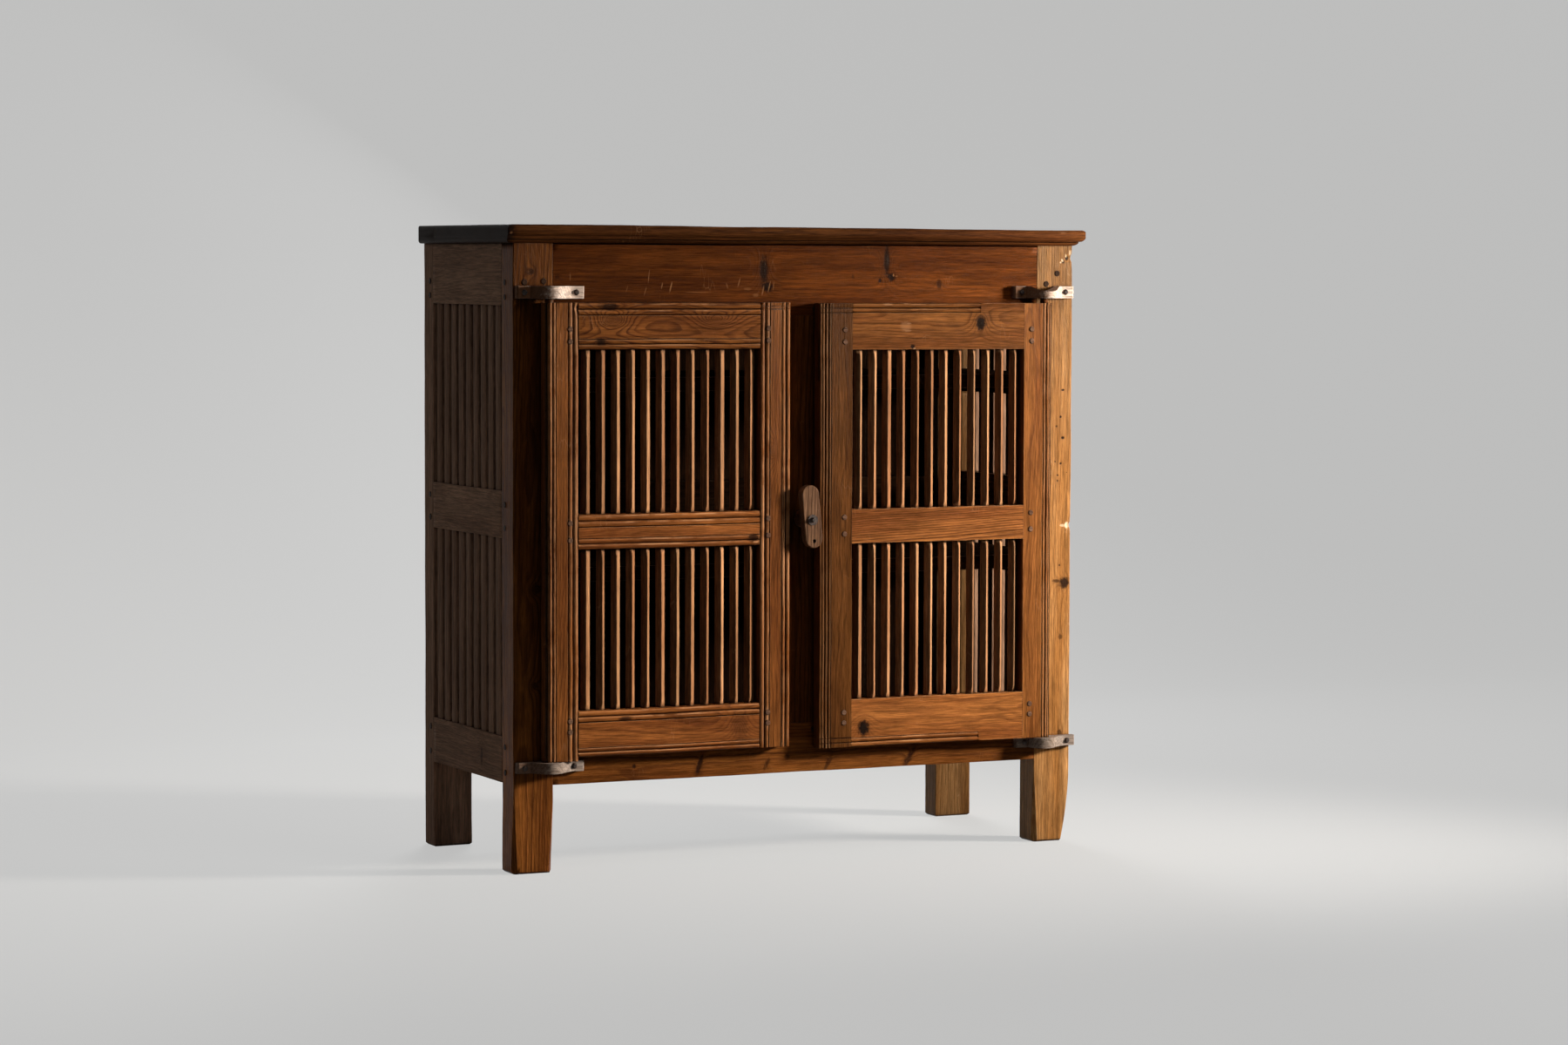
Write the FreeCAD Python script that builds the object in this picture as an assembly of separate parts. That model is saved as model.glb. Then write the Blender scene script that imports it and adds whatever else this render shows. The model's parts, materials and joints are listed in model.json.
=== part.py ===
# Cheese storage cabinet of pegged pine, with slatted sides and two doors of bars set on edge.
# X runs from the body's left edge, Y back from the frame's front and Z up from the floor.
import FreeCAD, Part
import math
import os

Vector = FreeCAD.Vector

# Body, in millimetres
body_width = 1176.0
body_depth = 464.5
body_height = 1170.0

# Top boards, with their moulded edge
top_thickness = 30.0
top_front_overhang = 24.0
top_end_overhang = 18.0
top_corner_radius = 5.0
top_worn_corner_radius = 22.0
top_joint_gap = 0.6
top_front_plank_depth = 390.0

# Edges of the top from its foot upward, each run two points for a line or three for an arc.
# A point is a share of the overhang outward, then a share of the thickness upward.
moulded_edge = [
    ((0.02, 0), (0.3, 0.08), (0.44, 0.19)),
    ((0.44, 0.19), (0.39, 0.235)),
    ((0.39, 0.235), (0.66, 0.26)),
    ((0.66, 0.26), (0.9, 0.42), (1, 0.66)),
    ((1, 0.66), (0.91, 0.9), (0.6, 1)),
]
rounded_edge = [
    ((0.28, 0), (0.76, 0.09), (1, 0.32)),
    ((1, 0.32), (1, 0.68)),
    ((1, 0.68), (0.88, 0.89), (0.43, 1)),
]
flat_edge = [((0, 0), (0, 1))]

# Posts, which run down as the legs
post_width = 79.0
front_post_depth = 57.0
back_post_depth = 48.5
post_arris = 2.0
foot_chamfer = 4.0
leg_clear = 164.0
leg_wear_height = 150.0
leg_taper = 20.0
leg_curve_in = 6.8
leg_curve_height = 67.5
leg_wear_wide = 9.0
leg_wear_deep = 12.0

# Rails of the frame and the stile between the doors
rail_thickness = 28.0
rail_arris = 1.0
top_rail_gap = 2.0
front_top_rail_height = 133.0
front_bottom_rail_height = 94.0
side_rail_lift = 2.3
side_top_rail_height = 113.0
side_middle_rail_bottom = 622.8
side_middle_rail_height = 87.6
side_bottom_rail_height = 86.7
back_rail_thickness = 24.0
back_rail_height = 78.0
centre_stile_width = 113.0
centre_shift = -4.5

# Tenons, and the pegs that hold them
tenon_thickness = 10.0
tenon_setback = 9.0
tenon_shoulder = 10.0
front_tenon_length = 67.0
side_tenon_length = 36.0
back_tenon_length = 50.0
stile_tenon_length = 30.0
mortise_spare = 1.0
frame_peg_radius = 5.5
frame_peg_length = 31.0
peg_proud = 1.2
peg_arris = 0.7

# Slats of the sides
slat_count = 9
slat_width = 25.0
slat_thickness = 9.0
slat_setback = 3.0
slat_housing = 12.0

# Back boards, bottom boards and shelves
back_board_count = 7
back_board_thickness = 12.0
board_gap = 1.0
bottom_board_top = 256.0
bottom_board_thickness = 16.0
shelf_thickness = 27.0
upper_shelf_top = 920.0
lower_shelf_top = 566.0
bearer_height = 18.0
bearer_thickness = 22.0
bearer_housing = 12.0
bottom_bearer_height = 28.0

# Nails
nail_radius = 1.8
nail_head_radius = 4.0
nail_head_height = 1.5
nail_length = 42.0
nail_head_taper = 0.55
top_nail_inset = 400.0
bearer_nail_rise = 11.2
long_bearer_nails = (0.15, 0.4, 0.6, 0.85)
short_bearer_nails = (0.2, 0.8)
back_board_nails = (-0.3, 0.3)
back_nail_rise = 48.4
back_nail_length = 31.2
bracket_nail_radius = 2.4
bracket_nail_head_radius = 5.5
bracket_nail_head_height = 3.5
bracket_nail_length = 33.0

# Doors
door_thickness = 27.0
door_gap = 3.0
meeting_gap = 63.0
door_tenon_thickness = 9.0
door_tenon_length = 45.0
door_tenon_shoulder = 8.0
door_peg_radius = 5.0
bead_depth = 3.2
strip_bead_count = 2
cross_groove_width = 2.0
cross_groove_depth = 1.2
bar_count = 12
bar_side = 13.5
bar_end_margin = 18.0
bar_tenon_radius = 4.5
bar_tenon_length = 12.0
bar_paring_height = 17.0
bar_paring_share = 0.8
bar_uneven_turn = 7.0
bar_turn_step = 2.4

# Pivots of the doors and their brackets
pivot_setback = 15.0
edge_radius = 15.0
pin_radius = 8.0
pin_clearance = 0.06
seat_clearance = 0.3
pin_proud = 3.0
bracket_nose_radius = 27.0
bracket_lobe_thickness = 13.0
bracket_lobe_length = 26.0
bracket_corner = 3.0
top_bracket_height = 23.0
top_bracket_drop = 79.0
bottom_bracket_height = 20.0
bottom_bracket_top = 209.5
dish_depth = 10.0
dish_width = 62.0
bracket_nose_angle = 64.0

# Each bracket's reach from its pin, and its nails' distance from its ends: outer, then inner
bracket_arms = {
    "top_left": (62.0, 72.0),
    "top_right": (69.0, 63.0),
    "bottom_left": (62.0, 72.0),
    "bottom_right": (78.0, 53.0),
}
bracket_nail_insets = {
    "top_left": (15.0, 16.0),
    "top_right": (19.0, 16.0),
    "bottom_left": (15.0, 20.0),
    "bottom_right": (18.0, 18.0),
}

# Turn button between the doors, on its collar and nail
button_height = 649.0
button_shift = 6.5
button_long_arm = 66.0
button_short_arm = 54.0
button_width = 36.0
button_thickness = 18.0
button_tilt = 5.8
button_clearance = 1.0
button_arris = 2.0
button_hole_radius = 3.7
button_hole_offset = 41.0
collar_radius = 17.0
button_nail_radius = 3.5
button_nail_depth = 24.0
washer_radius = 10.0
washer_thickness = 1.2
button_head_radius = 5.5
button_head_top_radius = 3.0
button_head_height = 5.0

# Each door's own sizes. The margin is from the body's edge. A stile or rail has its width, then the width
# of the beaded strip along each of its two edges: outer and inner, or lower and upper
left_door = {
    "margin": 50.0,
    "drop": 7.5,
    "lift": 8.0,
    "hinge_stile": (68.6, 15.5, 22.1),
    "meeting_stile": (63.0, 19.0, 21.0),
    "meeting_lip": 0.0,
    "top_rail": (86.9, 20.0, 24.0),
    "middle_rail": (65.3, 21.0, 24.5),
    "middle_rail_bottom": 602.8,
    "bottom_rail": (85.5, 17.0, 22.0),
    "meeting_bead_count": 2,
    "bead_stop": 0.0,
    "top_grooves": (7.0, 12.5),
    "bottom_grooves": (),
    "peg_inset": 17.0,
}
right_door = {
    "margin": 57.0,
    "drop": 9.6,
    "lift": 0.8,
    "hinge_stile": (64.6, 14.5, 0.0),
    "meeting_stile": (67.5, 21.0, 0.0),
    "meeting_lip": 3.0,
    "top_rail": (88.1, 0.0, 18.0),
    "middle_rail": (64.8, 0.0, 0.0),
    "middle_rail_bottom": 601.1,
    "bottom_rail": (91.4, 18.0, 0.0),
    "meeting_bead_count": 3,
    "bead_stop": 96.0,
    "top_grooves": (9.0, 18.0),
    "bottom_grooves": (9.0, 18.0),
    "peg_inset": 16.0,
}
door_peg_offsets = {"top": (15.0, 38.0), "middle": (18.0, 50.0), "bottom": (47.0, 67.0)}

# Peg places on the frame: from the post's outer edge, and above the rail's lower edge
left_front_pegs = [(22.6, 63.2), (60.6, 64.8)]
right_front_pegs = [(58.1, 60.6), (34.0, 81.0)]
low_front_peg = (61.0, 62.0)
stile_peg_inset = 13.0
stile_peg_depth = 13.0
side_peg_inset = 16.0
back_peg_inset = 45.0
side_peg_offsets = {"top": (15.6, 43.0), "middle": (19.5, 63.0), "bottom": (20.0, 68.0)}

# Places that follow from the sizes above
left_inside = post_width
right_inside = body_width - post_width
front_inside = front_post_depth
back_inside = body_depth - back_post_depth
centre_x = body_width / 2 + centre_shift
stile_left = centre_x - centre_stile_width / 2
stile_right = centre_x + centre_stile_width / 2
rail_top = body_height - top_rail_gap
front_top_rail_bottom = rail_top - front_top_rail_height
front_bottom_rail_top = leg_clear + front_bottom_rail_height
side_bottom_rail_bottom = leg_clear + side_rail_lift
side_top_rail_bottom = rail_top - side_top_rail_height
back_board_face = body_depth - back_board_thickness
back_rail_face = back_board_face - back_rail_thickness
slat_inner_face = slat_setback + slat_thickness
door_front = -door_gap - door_thickness
pivot_y = door_front + door_thickness / 2
top_bracket_top = body_height - top_bracket_drop
top_bracket_bottom = top_bracket_top - top_bracket_height
bottom_bracket_bottom = bottom_bracket_top - bottom_bracket_height
button_back = door_front - button_clearance
button_front = button_back - button_thickness
button_x = centre_x + button_shift
front_reach = button_front - seat_clearance - washer_thickness - button_head_height

up = Vector(0, 0, 1)
across = Vector(1, 0, 0)
back = Vector(0, 1, 0)
cut_spare = 5.0


def block(x0, x1, y0, y1, z0, z1):
    return Part.makeBox(x1 - x0, y1 - y0, z1 - z0, Vector(x0, y0, z0))


def edges_along(shape, direction):
    picked = []
    for edge in shape.Edges:
        run = edge.Vertexes[-1].Point.sub(edge.Vertexes[0].Point)
        if run.Length > 0 and abs(run.dot(direction)) > 0.999 * run.Length:
            picked.append(edge)
    return picked


# A board or bar with its long edges eased
def eased(shape, direction, radius):
    return shape.makeFillet(radius, edges_along(shape, direction))


def mirrored(shape):
    return shape.mirror(Vector(body_width / 2, 0, 0), across)


def joined(shapes):
    return shapes[0].fuse(shapes[1:]).removeSplitter()


def prism(points, direction):
    outline = Part.makePolygon(points + points[:1])
    return Part.Face(outline).extrude(direction)


# What wear has taken from a leg's corner: all that lies outside a plane that leans in down to the floor
def corner_wear(x, y, along_x, along_y, height):
    foot_x = Vector(x + along_x, y, 0)
    foot_y = Vector(x, y + along_y, 0)
    tip = Vector(x, y, height)
    middle = (foot_x + foot_y + tip) * (1 / 3)
    normal = (foot_y - foot_x).cross(tip - foot_x).normalize()
    if normal.dot(Vector(-along_x, -along_y, 0)) < 0:
        normal = normal * -1
    level = (foot_y - foot_x).normalize() * height
    slope = normal.cross(level)
    upper, lower = middle + slope, middle - slope
    corners = [upper + level, upper - level, lower - level, lower + level]
    return prism(corners, normal * height)


def make_post(x0, depth_from, depth_to):
    post = block(x0, x0 + post_width, depth_from, depth_to, 0, body_height)
    foot_edges = [edge for edge in post.Edges if edge.BoundBox.ZMax < 0.001]
    return eased(post.makeChamfer(foot_chamfer, foot_edges), up, post_arris)


# The right front leg curves in at its outer side
def leg_curve():
    top = Vector(body_width, -cut_spare, leg_wear_height)
    middle = Vector(body_width - leg_curve_in, -cut_spare, leg_curve_height)
    foot = Vector(body_width - leg_taper, -cut_spare, -cut_spare)
    outer_foot = Vector(body_width + cut_spare, -cut_spare, -cut_spare)
    outer_top = Vector(body_width + cut_spare, -cut_spare, leg_wear_height)
    edges = [
        Part.Arc(top, middle, foot).toShape(),
        Part.LineSegment(foot, outer_foot).toShape(),
        Part.LineSegment(outer_foot, outer_top).toShape(),
        Part.LineSegment(outer_top, top).toShape(),
    ]
    return Part.Face(Part.Wire(edges)).extrude(Vector(0, front_post_depth + 2 * cut_spare, 0))


def make_front_posts():
    left = make_post(0, 0, front_post_depth)
    left = left.cut(corner_wear(0, 0, leg_wear_wide, leg_wear_deep, leg_clear))
    left = left.cut(corner_wear(post_width, 0, -leg_wear_wide, leg_wear_deep, leg_wear_height))
    right = make_post(right_inside, 0, front_post_depth)
    right = right.cut(corner_wear(right_inside, 0, leg_wear_wide, leg_wear_deep, leg_wear_height))
    right = right.cut(leg_curve())
    return left, right


# A rail that runs across between two posts or stiles, with a tenon at each end
def rail_across(x0, x1, y0, thickness, z0, z1, tenon_length, tenon_y, thick, shoulder):
    rail = eased(block(x0, x1, y0, y0 + thickness, z0, z1), across, rail_arris)
    tenon = block(
        x0 - tenon_length, x1 + tenon_length, tenon_y, tenon_y + thick, z0 + shoulder, z1 - shoulder
    )
    return joined([rail, tenon]), tenon_mortise(tenon, across)


# The mortise is a little deeper than the tenon at each end
def tenon_mortise(tenon, direction):
    box = tenon.BoundBox
    spare = direction * mortise_spare
    return block(
        box.XMin - spare.x, box.XMax + spare.x, box.YMin - spare.y, box.YMax + spare.y,
        box.ZMin - spare.z, box.ZMax + spare.z,
    )


def side_rail(z0, z1):
    rail = eased(block(0, rail_thickness, front_inside, back_inside, z0, z1), back, rail_arris)
    tenon = block(
        tenon_setback, tenon_setback + tenon_thickness,
        front_inside - side_tenon_length, back_inside + side_tenon_length,
        z0 + tenon_shoulder, z1 - tenon_shoulder,
    )
    return joined([rail, tenon]), tenon_mortise(tenon, back)


# Slats of one side opening, housed in the rails above and below
def make_slats(z0, z1):
    run = back_inside - front_inside
    gap = (run - slat_count * slat_width) / (slat_count + 1)
    slats = []
    for index in range(slat_count):
        y0 = front_inside + gap + index * (slat_width + gap)
        slat = block(
            slat_setback, slat_inner_face, y0, y0 + slat_width, z0 - slat_housing, z1 + slat_housing
        )
        slats.append(slat)
    return slats


# A wooden peg: its head stands a little proud and is eased
def make_peg(radius, length, start, direction):
    head = start - direction * peg_proud
    peg = Part.makeCylinder(radius, length, head, direction)
    rim = [edge for edge in peg.Edges if (edge.CenterOfMass - head).Length < 0.001]
    return peg.makeChamfer(peg_arris, rim[:1])


def make_nail(radius, head_radius, head_height, length, start, direction):
    shank = Part.makeCylinder(radius, length, start, direction)
    head = Part.makeCone(head_radius, head_radius * nail_head_taper, head_height, start, direction * -1)
    return joined([shank, head])


# A flush nail: its head is let into the wood
def flush_nail(start, direction):
    sunk = start + direction * nail_head_height
    return make_nail(nail_radius, nail_head_radius, nail_head_height, nail_length, sunk, direction)


def cut_for(pieces, names, tools):
    for name in names:
        touching = [tool for tool in tools if tool.BoundBox.intersect(pieces[name].BoundBox)]
        if touching:
            pieces[name] = pieces[name].cut(touching)


# A section of the top across a body of this length, with an edge and its overhang at either end
def top_section(length, near, far):
    edges = []
    feet = []
    crowns = []
    for (runs, reach), start, side in ((near, 0, -1), (far, length, 1)):
        for run in runs:
            points = [
                Vector(start + side * out * reach, 0, body_height + rise * top_thickness) for out, rise in run
            ]
            edges.append(Part.Arc(*points).toShape() if len(points) == 3 else Part.makeLine(*points))
            if run == runs[0]:
                feet.append(points[0])
        crowns.append(points[-1])
    edges.append(Part.makeLine(*crowns))
    edges.append(Part.makeLine(*feet))
    return Part.Face(Part.Wire(Part.__sortEdges__(edges)))


def make_top():
    left = -top_end_overhang
    right = body_width + top_end_overhang
    left_edge = (rounded_edge, top_end_overhang)
    right_edge = (moulded_edge, top_end_overhang)
    across_face = top_section(body_width, left_edge, right_edge)
    across_face.translate(Vector(0, -top_front_overhang - cut_spare, 0))
    ends = across_face.extrude(Vector(0, body_depth + top_front_overhang + cut_spare, 0))
    front_face = top_section(body_depth, (moulded_edge, top_front_overhang), (flat_edge, 0))
    front_face.rotate(Vector(0, 0, 0), up, 90)
    front_face.translate(Vector(left - cut_spare, 0, 0))
    front = front_face.extrude(Vector(right - left + 2 * cut_spare, 0, 0))
    plan = block(left, right, -top_front_overhang, body_depth, body_height, body_height + top_thickness)
    worn_corner = [edge for edge in edges_along(plan, up) if edge.BoundBox.XMax < 0 < edge.BoundBox.YMin]
    sharp_corners = [edge for edge in edges_along(plan, up) if not edge.isSame(worn_corner[0])]
    rounded = plan.makeFillet(top_corner_radius, sharp_corners)
    worn = plan.makeFillet(top_worn_corner_radius, worn_corner)
    top = ends.common(front).common(rounded).common(worn)
    split = top_front_plank_depth - top_front_overhang
    heights = (body_height - cut_spare, body_height + top_thickness + cut_spare)
    wide = (left - cut_spare, right + cut_spare)
    front_plank = top.common(block(*wide, -top_front_overhang - cut_spare, split, *heights))
    back_plank = top.common(block(*wide, split + top_joint_gap, body_depth + cut_spare, *heights))
    return front_plank, back_plank


# Boards side by side in one layer, notched round the posts where they reach that far
def make_layer(x0, x1, y0, y1, top, thickness):
    middle = (y0 + y1) / 2
    front_notch = block(
        -cut_spare, left_inside + board_gap, -cut_spare, front_inside + board_gap, 0, body_height
    )
    back_notch = block(
        -cut_spare, left_inside + board_gap, back_inside - board_gap, body_depth, 0, body_height
    )
    notches = [front_notch, back_notch, mirrored(front_notch), mirrored(back_notch)]
    layer = []
    for board_y0, board_y1 in ((y0, middle - board_gap / 2), (middle + board_gap / 2, y1)):
        board = block(x0, x1, board_y0, board_y1, top - thickness, top)
        layer.append(board.cut(notches))
    return layer


def make_bearer(top):
    return block(
        slat_inner_face + board_gap, slat_inner_face + board_gap + bearer_thickness,
        front_inside - bearer_housing, back_inside + bearer_housing, top - bearer_height, top,
    )


# The strips across a door piece, as a count of beads and a width, with no beads on a flat
def bead_zones(sizes, first_count, lip=0.0):
    width, first, last = sizes
    flat = width - lip - first - last
    zones = ((0, lip), (first_count, first), (0, flat), (strip_bead_count, last))
    return [(beads, strip) for beads, strip in zones if strip > 0]


# The front edge of a door piece in section: flats, and runs of beads with a sunk line each side
def beaded_edges(zones, place):
    edges = []
    at = 0.0
    sunk = False
    for beads, width in zones:
        if beads == 0:
            if sunk:
                edges.append(Part.LineSegment(place(at, bead_depth), place(at, 0)).toShape())
            edges.append(Part.LineSegment(place(at, 0), place(at + width, 0)).toShape())
            sunk = False
            at += width
            continue
        if not sunk and at > 0:
            edges.append(Part.LineSegment(place(at, 0), place(at, bead_depth)).toShape())
        step = width / beads
        for _ in range(beads):
            bead = Part.Arc(place(at, bead_depth), place(at + step / 2, 0), place(at + step, bead_depth))
            edges.append(bead.toShape())
            at += step
        sunk = True
    start = place(0, bead_depth if zones[0][0] else 0)
    end = place(at, bead_depth if sunk else 0)
    return edges, start, end


# A straight piece of a door: its beaded section drawn along one direction
def beaded_piece(zones, section_place, corner_place, direction):
    edges, start, end = beaded_edges(zones, section_place)
    total = sum(width for _, width in zones)
    far, near = corner_place(total), corner_place(0)
    for a, b in ((end, far), (far, near), (near, start)):
        edges.append(Part.LineSegment(a, b).toShape())
    return Part.Face(Part.Wire(edges)).extrude(direction)


# The hinge stile, drawn with its round edge at X = 0 and its inner edge towards +X
def hinge_stile_section(sizes):
    half = door_thickness / 2
    flat_start = pivot_setback - math.sqrt(edge_radius ** 2 - half ** 2)
    total = sizes[0]
    zones = bead_zones((total - flat_start, sizes[1], sizes[2]), strip_bead_count)

    def place(at, depth):
        return Vector(flat_start + at, door_front + depth, 0)

    edges, start, end = beaded_edges(zones, place)
    inner_back = Vector(total, door_front + door_thickness, 0)
    round_back = Vector(flat_start, door_front + door_thickness, 0)
    outermost = Vector(pivot_setback - edge_radius, pivot_y, 0)
    round_front = Vector(flat_start, door_front, 0)
    edges.append(Part.LineSegment(end, inner_back).toShape())
    edges.append(Part.LineSegment(inner_back, round_back).toShape())
    edges.append(Part.Arc(round_back, outermost, round_front).toShape())
    if (round_front - start).Length > 0.001:
        edges.append(Part.LineSegment(round_front, start).toShape())
    return Part.Face(Part.Wire(edges))


# One more sunk line on the round edge of the hinge stile
def edge_reed(z0, z1):
    angle = math.radians(128)
    x = pivot_setback + edge_radius * math.cos(angle)
    y = pivot_y - edge_radius * math.sin(angle)
    return Part.makeCylinder(bead_depth / 2, z1 - z0, Vector(x, y, z0), up)


def bar_turn(index, phase):
    return bar_uneven_turn * math.sin(bar_turn_step * index + phase)


# A square bar on its corner: the front corner is pared away at both ends, which go on as round tenons
def make_bar(x, z0, z1, turn):
    half = bar_side / 2
    corner = bar_side / math.sqrt(2)
    bar = block(-half, half, -half, half, z0, z1)
    bar.rotate(Vector(0, 0, 0), up, 45)
    deep = corner * bar_paring_share
    parings = []
    for end, sign in ((z0, 1), (z1, -1)):
        points = [
            Vector(-bar_side, -corner - 1, end - sign),
            Vector(-bar_side, -corner + deep, end - sign),
            Vector(-bar_side, -corner - 1, end + sign * bar_paring_height),
        ]
        parings.append(prism(points, Vector(2 * bar_side, 0, 0)))
    bar = bar.cut(parings)
    tenon = Part.makeCylinder(
        bar_tenon_radius, z1 - z0 + 2 * bar_tenon_length, Vector(0, 0, z0 - bar_tenon_length), up
    )
    bar = joined([bar, tenon])
    bar.rotate(Vector(0, 0, 0), up, turn)
    bar.translate(Vector(x, pivot_y, 0))
    hole = Part.makeCylinder(
        bar_tenon_radius, z1 - z0 + 2 * bar_tenon_length + 2 * mortise_spare,
        Vector(x, pivot_y, z0 - bar_tenon_length - mortise_spare), up,
    )
    return bar, hole


# One door, drawn as if hinged at the left; the right door is its mirror picture
def make_door(name, sizes, mirror, phase, pin_top):
    margin = sizes["margin"]
    own_centre = centre_x if not mirror else body_width - centre_x
    width = own_centre - meeting_gap / 2 - margin
    z0 = bottom_bracket_top + sizes["lift"]
    z1 = top_bracket_bottom - sizes["drop"]
    hinge_section = hinge_stile_section(sizes["hinge_stile"])
    open_x0 = margin + sizes["hinge_stile"][0]
    open_x1 = margin + width - sizes["meeting_stile"][0]
    pieces = {}

    # Hinge stile with its round pins
    seat = bottom_bracket_top + seat_clearance
    hinge = hinge_section.extrude(Vector(0, 0, z1 - seat))
    hinge.translate(Vector(0, 0, seat))
    hinge = hinge.cut(edge_reed(seat - 1, z1 + 1))
    low_end = bottom_bracket_bottom - pin_proud
    high_end = pin_top
    pin = Part.makeCylinder(pin_radius, high_end - low_end, Vector(pivot_setback, pivot_y, low_end), up)
    hinge = joined([hinge, pin])
    hinge.translate(Vector(margin, 0, 0))

    # Meeting stile
    meeting_x1 = margin + width

    def meeting_place(at, depth):
        return Vector(meeting_x1 - at, door_front + depth, z0)

    meeting = beaded_piece(
        bead_zones(sizes["meeting_stile"], sizes["meeting_bead_count"], sizes["meeting_lip"]), meeting_place,
        lambda at: Vector(meeting_x1 - at, door_front + door_thickness, z0), Vector(0, 0, z1 - z0),
    )
    grooves = []
    groove_levels = [z1 - inset for inset in sizes["top_grooves"]]
    groove_levels += [z0 + inset for inset in sizes["bottom_grooves"]]
    for level in groove_levels:
        grooves.append(
            block(
                open_x1 - cut_spare, meeting_x1 + cut_spare,
                door_front - cut_spare, door_front + cross_groove_depth,
                level - cross_groove_width / 2, level + cross_groove_width / 2,
            )
        )
    meeting = meeting.cut(grooves)

    # Rails with their tenons
    middle_bottom = sizes["middle_rail_bottom"]
    levels = {
        "top": (z1 - sizes["top_rail"][0], z1),
        "middle": (middle_bottom, middle_bottom + sizes["middle_rail"][0]),
        "bottom": (z0, z0 + sizes["bottom_rail"][0]),
    }
    rails = {}
    mortises = []
    bead_x0 = open_x0 + sizes["bead_stop"]
    for level, (low, high) in levels.items():
        zones = bead_zones(sizes[level + "_rail"], strip_bead_count)

        def rail_place(at, depth, low=low):
            return Vector(bead_x0, door_front + depth, low + at)

        rail = beaded_piece(
            zones, rail_place,
            lambda at, low=low: Vector(bead_x0, door_front + door_thickness, low + at),
            Vector(open_x1 - bead_x0, 0, 0),
        )
        tenon = block(
            open_x0 - door_tenon_length, open_x1 + door_tenon_length,
            pivot_y - door_tenon_thickness / 2, pivot_y + door_tenon_thickness / 2,
            low + door_tenon_shoulder, high - door_tenon_shoulder,
        )
        solids = [rail, tenon]
        if sizes["bead_stop"] > 0:
            plain = block(open_x0, bead_x0, door_front, door_front + door_thickness, low, high)
            solids.append(plain)
        rails[level] = joined(solids)
        mortises.append(tenon_mortise(tenon, across))

    # Bars in the two openings
    openings = {
        "lower": (levels["bottom"][1], levels["middle"][0]),
        "upper": (levels["middle"][1], levels["top"][0]),
    }
    pitch = (open_x1 - open_x0 - 2 * bar_end_margin) / (bar_count - 1)
    holes = []
    for opening, (low, high) in openings.items():
        bars = []
        for index in range(bar_count):
            x = open_x0 + bar_end_margin + index * pitch
            turn = bar_turn(index, phase + (0 if opening == "upper" else 2))
            bar, hole = make_bar(x, low, high, turn)
            bars.append(bar)
            holes.append(hole)
        pieces[name + "_" + opening + "_bars"] = Part.makeCompound(bars)

    # Pegs through stile and tenon
    pegs = []
    for level, (low, high) in levels.items():
        for offset in door_peg_offsets[level]:
            for x in (open_x0 - sizes["peg_inset"], open_x1 + sizes["peg_inset"]):
                start = Vector(x, door_front, low + offset)
                pegs.append(make_peg(door_peg_radius, door_thickness + peg_proud, start, back))
    pieces[name + "_hinge_stile"] = hinge.cut(mortises).cut(pegs)
    pieces[name + "_meeting_stile"] = meeting.cut(mortises).cut(pegs)
    for level, rail in rails.items():
        pieces[name + "_" + level + "_rail"] = rail.cut(holes).cut(pegs)
    pieces[name + "_pegs"] = Part.makeCompound(pegs)
    if mirror:
        return {piece: mirrored(shape) for piece, shape in pieces.items()}
    return pieces


# A bow of wood seen in plan: a round nose about the pin, and two lobes nailed to the frame
def make_bracket(x, outward, outer_arm, inner_arm, z0, height):
    nose_angle = math.radians(bracket_nose_angle)
    nose_x = bracket_nose_radius * math.sin(nose_angle)
    nose_y = pivot_y - bracket_nose_radius * math.cos(nose_angle)
    face = -bracket_lobe_thickness

    def side(arm, sign):
        return [
            Vector(x + sign * arm, 0, z0),
            Vector(x + sign * arm, face + bracket_corner, z0),
            Vector(x + sign * (arm - bracket_corner), face, z0),
            Vector(x + sign * (arm - bracket_lobe_length), face, z0),
            Vector(x + sign * nose_x, nose_y, z0),
        ]

    outer, inner = side(outer_arm, outward), side(inner_arm, -outward)
    edges = [Part.LineSegment(a, b).toShape() for a, b in zip(outer, outer[1:])]
    apex = Vector(x, pivot_y - bracket_nose_radius, z0)
    edges.append(Part.Arc(outer[-1], apex, inner[-1]).toShape())
    edges += [Part.LineSegment(b, a).toShape() for a, b in reversed(list(zip(inner, inner[1:])))]
    edges.append(Part.LineSegment(inner[0], outer[0]).toShape())
    bracket = Part.Face(Part.Wire(edges)).extrude(Vector(0, 0, height))
    hole = Part.makeCylinder(
        pin_radius + pin_clearance, height + 2 * cut_spare, Vector(x, pivot_y, z0 - cut_spare), up
    )
    return bracket.cut(hole)


# Two nails hold each bracket, one through each lobe
def bracket_nails(x, outward, arms, insets, z):
    nails = []
    outer_x = x + outward * (arms[0] - insets[0])
    inner_x = x - outward * (arms[1] - insets[1])
    for nail_x in (outer_x, inner_x):
        start = Vector(nail_x, -bracket_lobe_thickness, z)
        nails.append(
            make_nail(
                bracket_nail_radius, bracket_nail_head_radius, bracket_nail_head_height,
                bracket_nail_length, start, back,
            )
        )
    return nails


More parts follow.
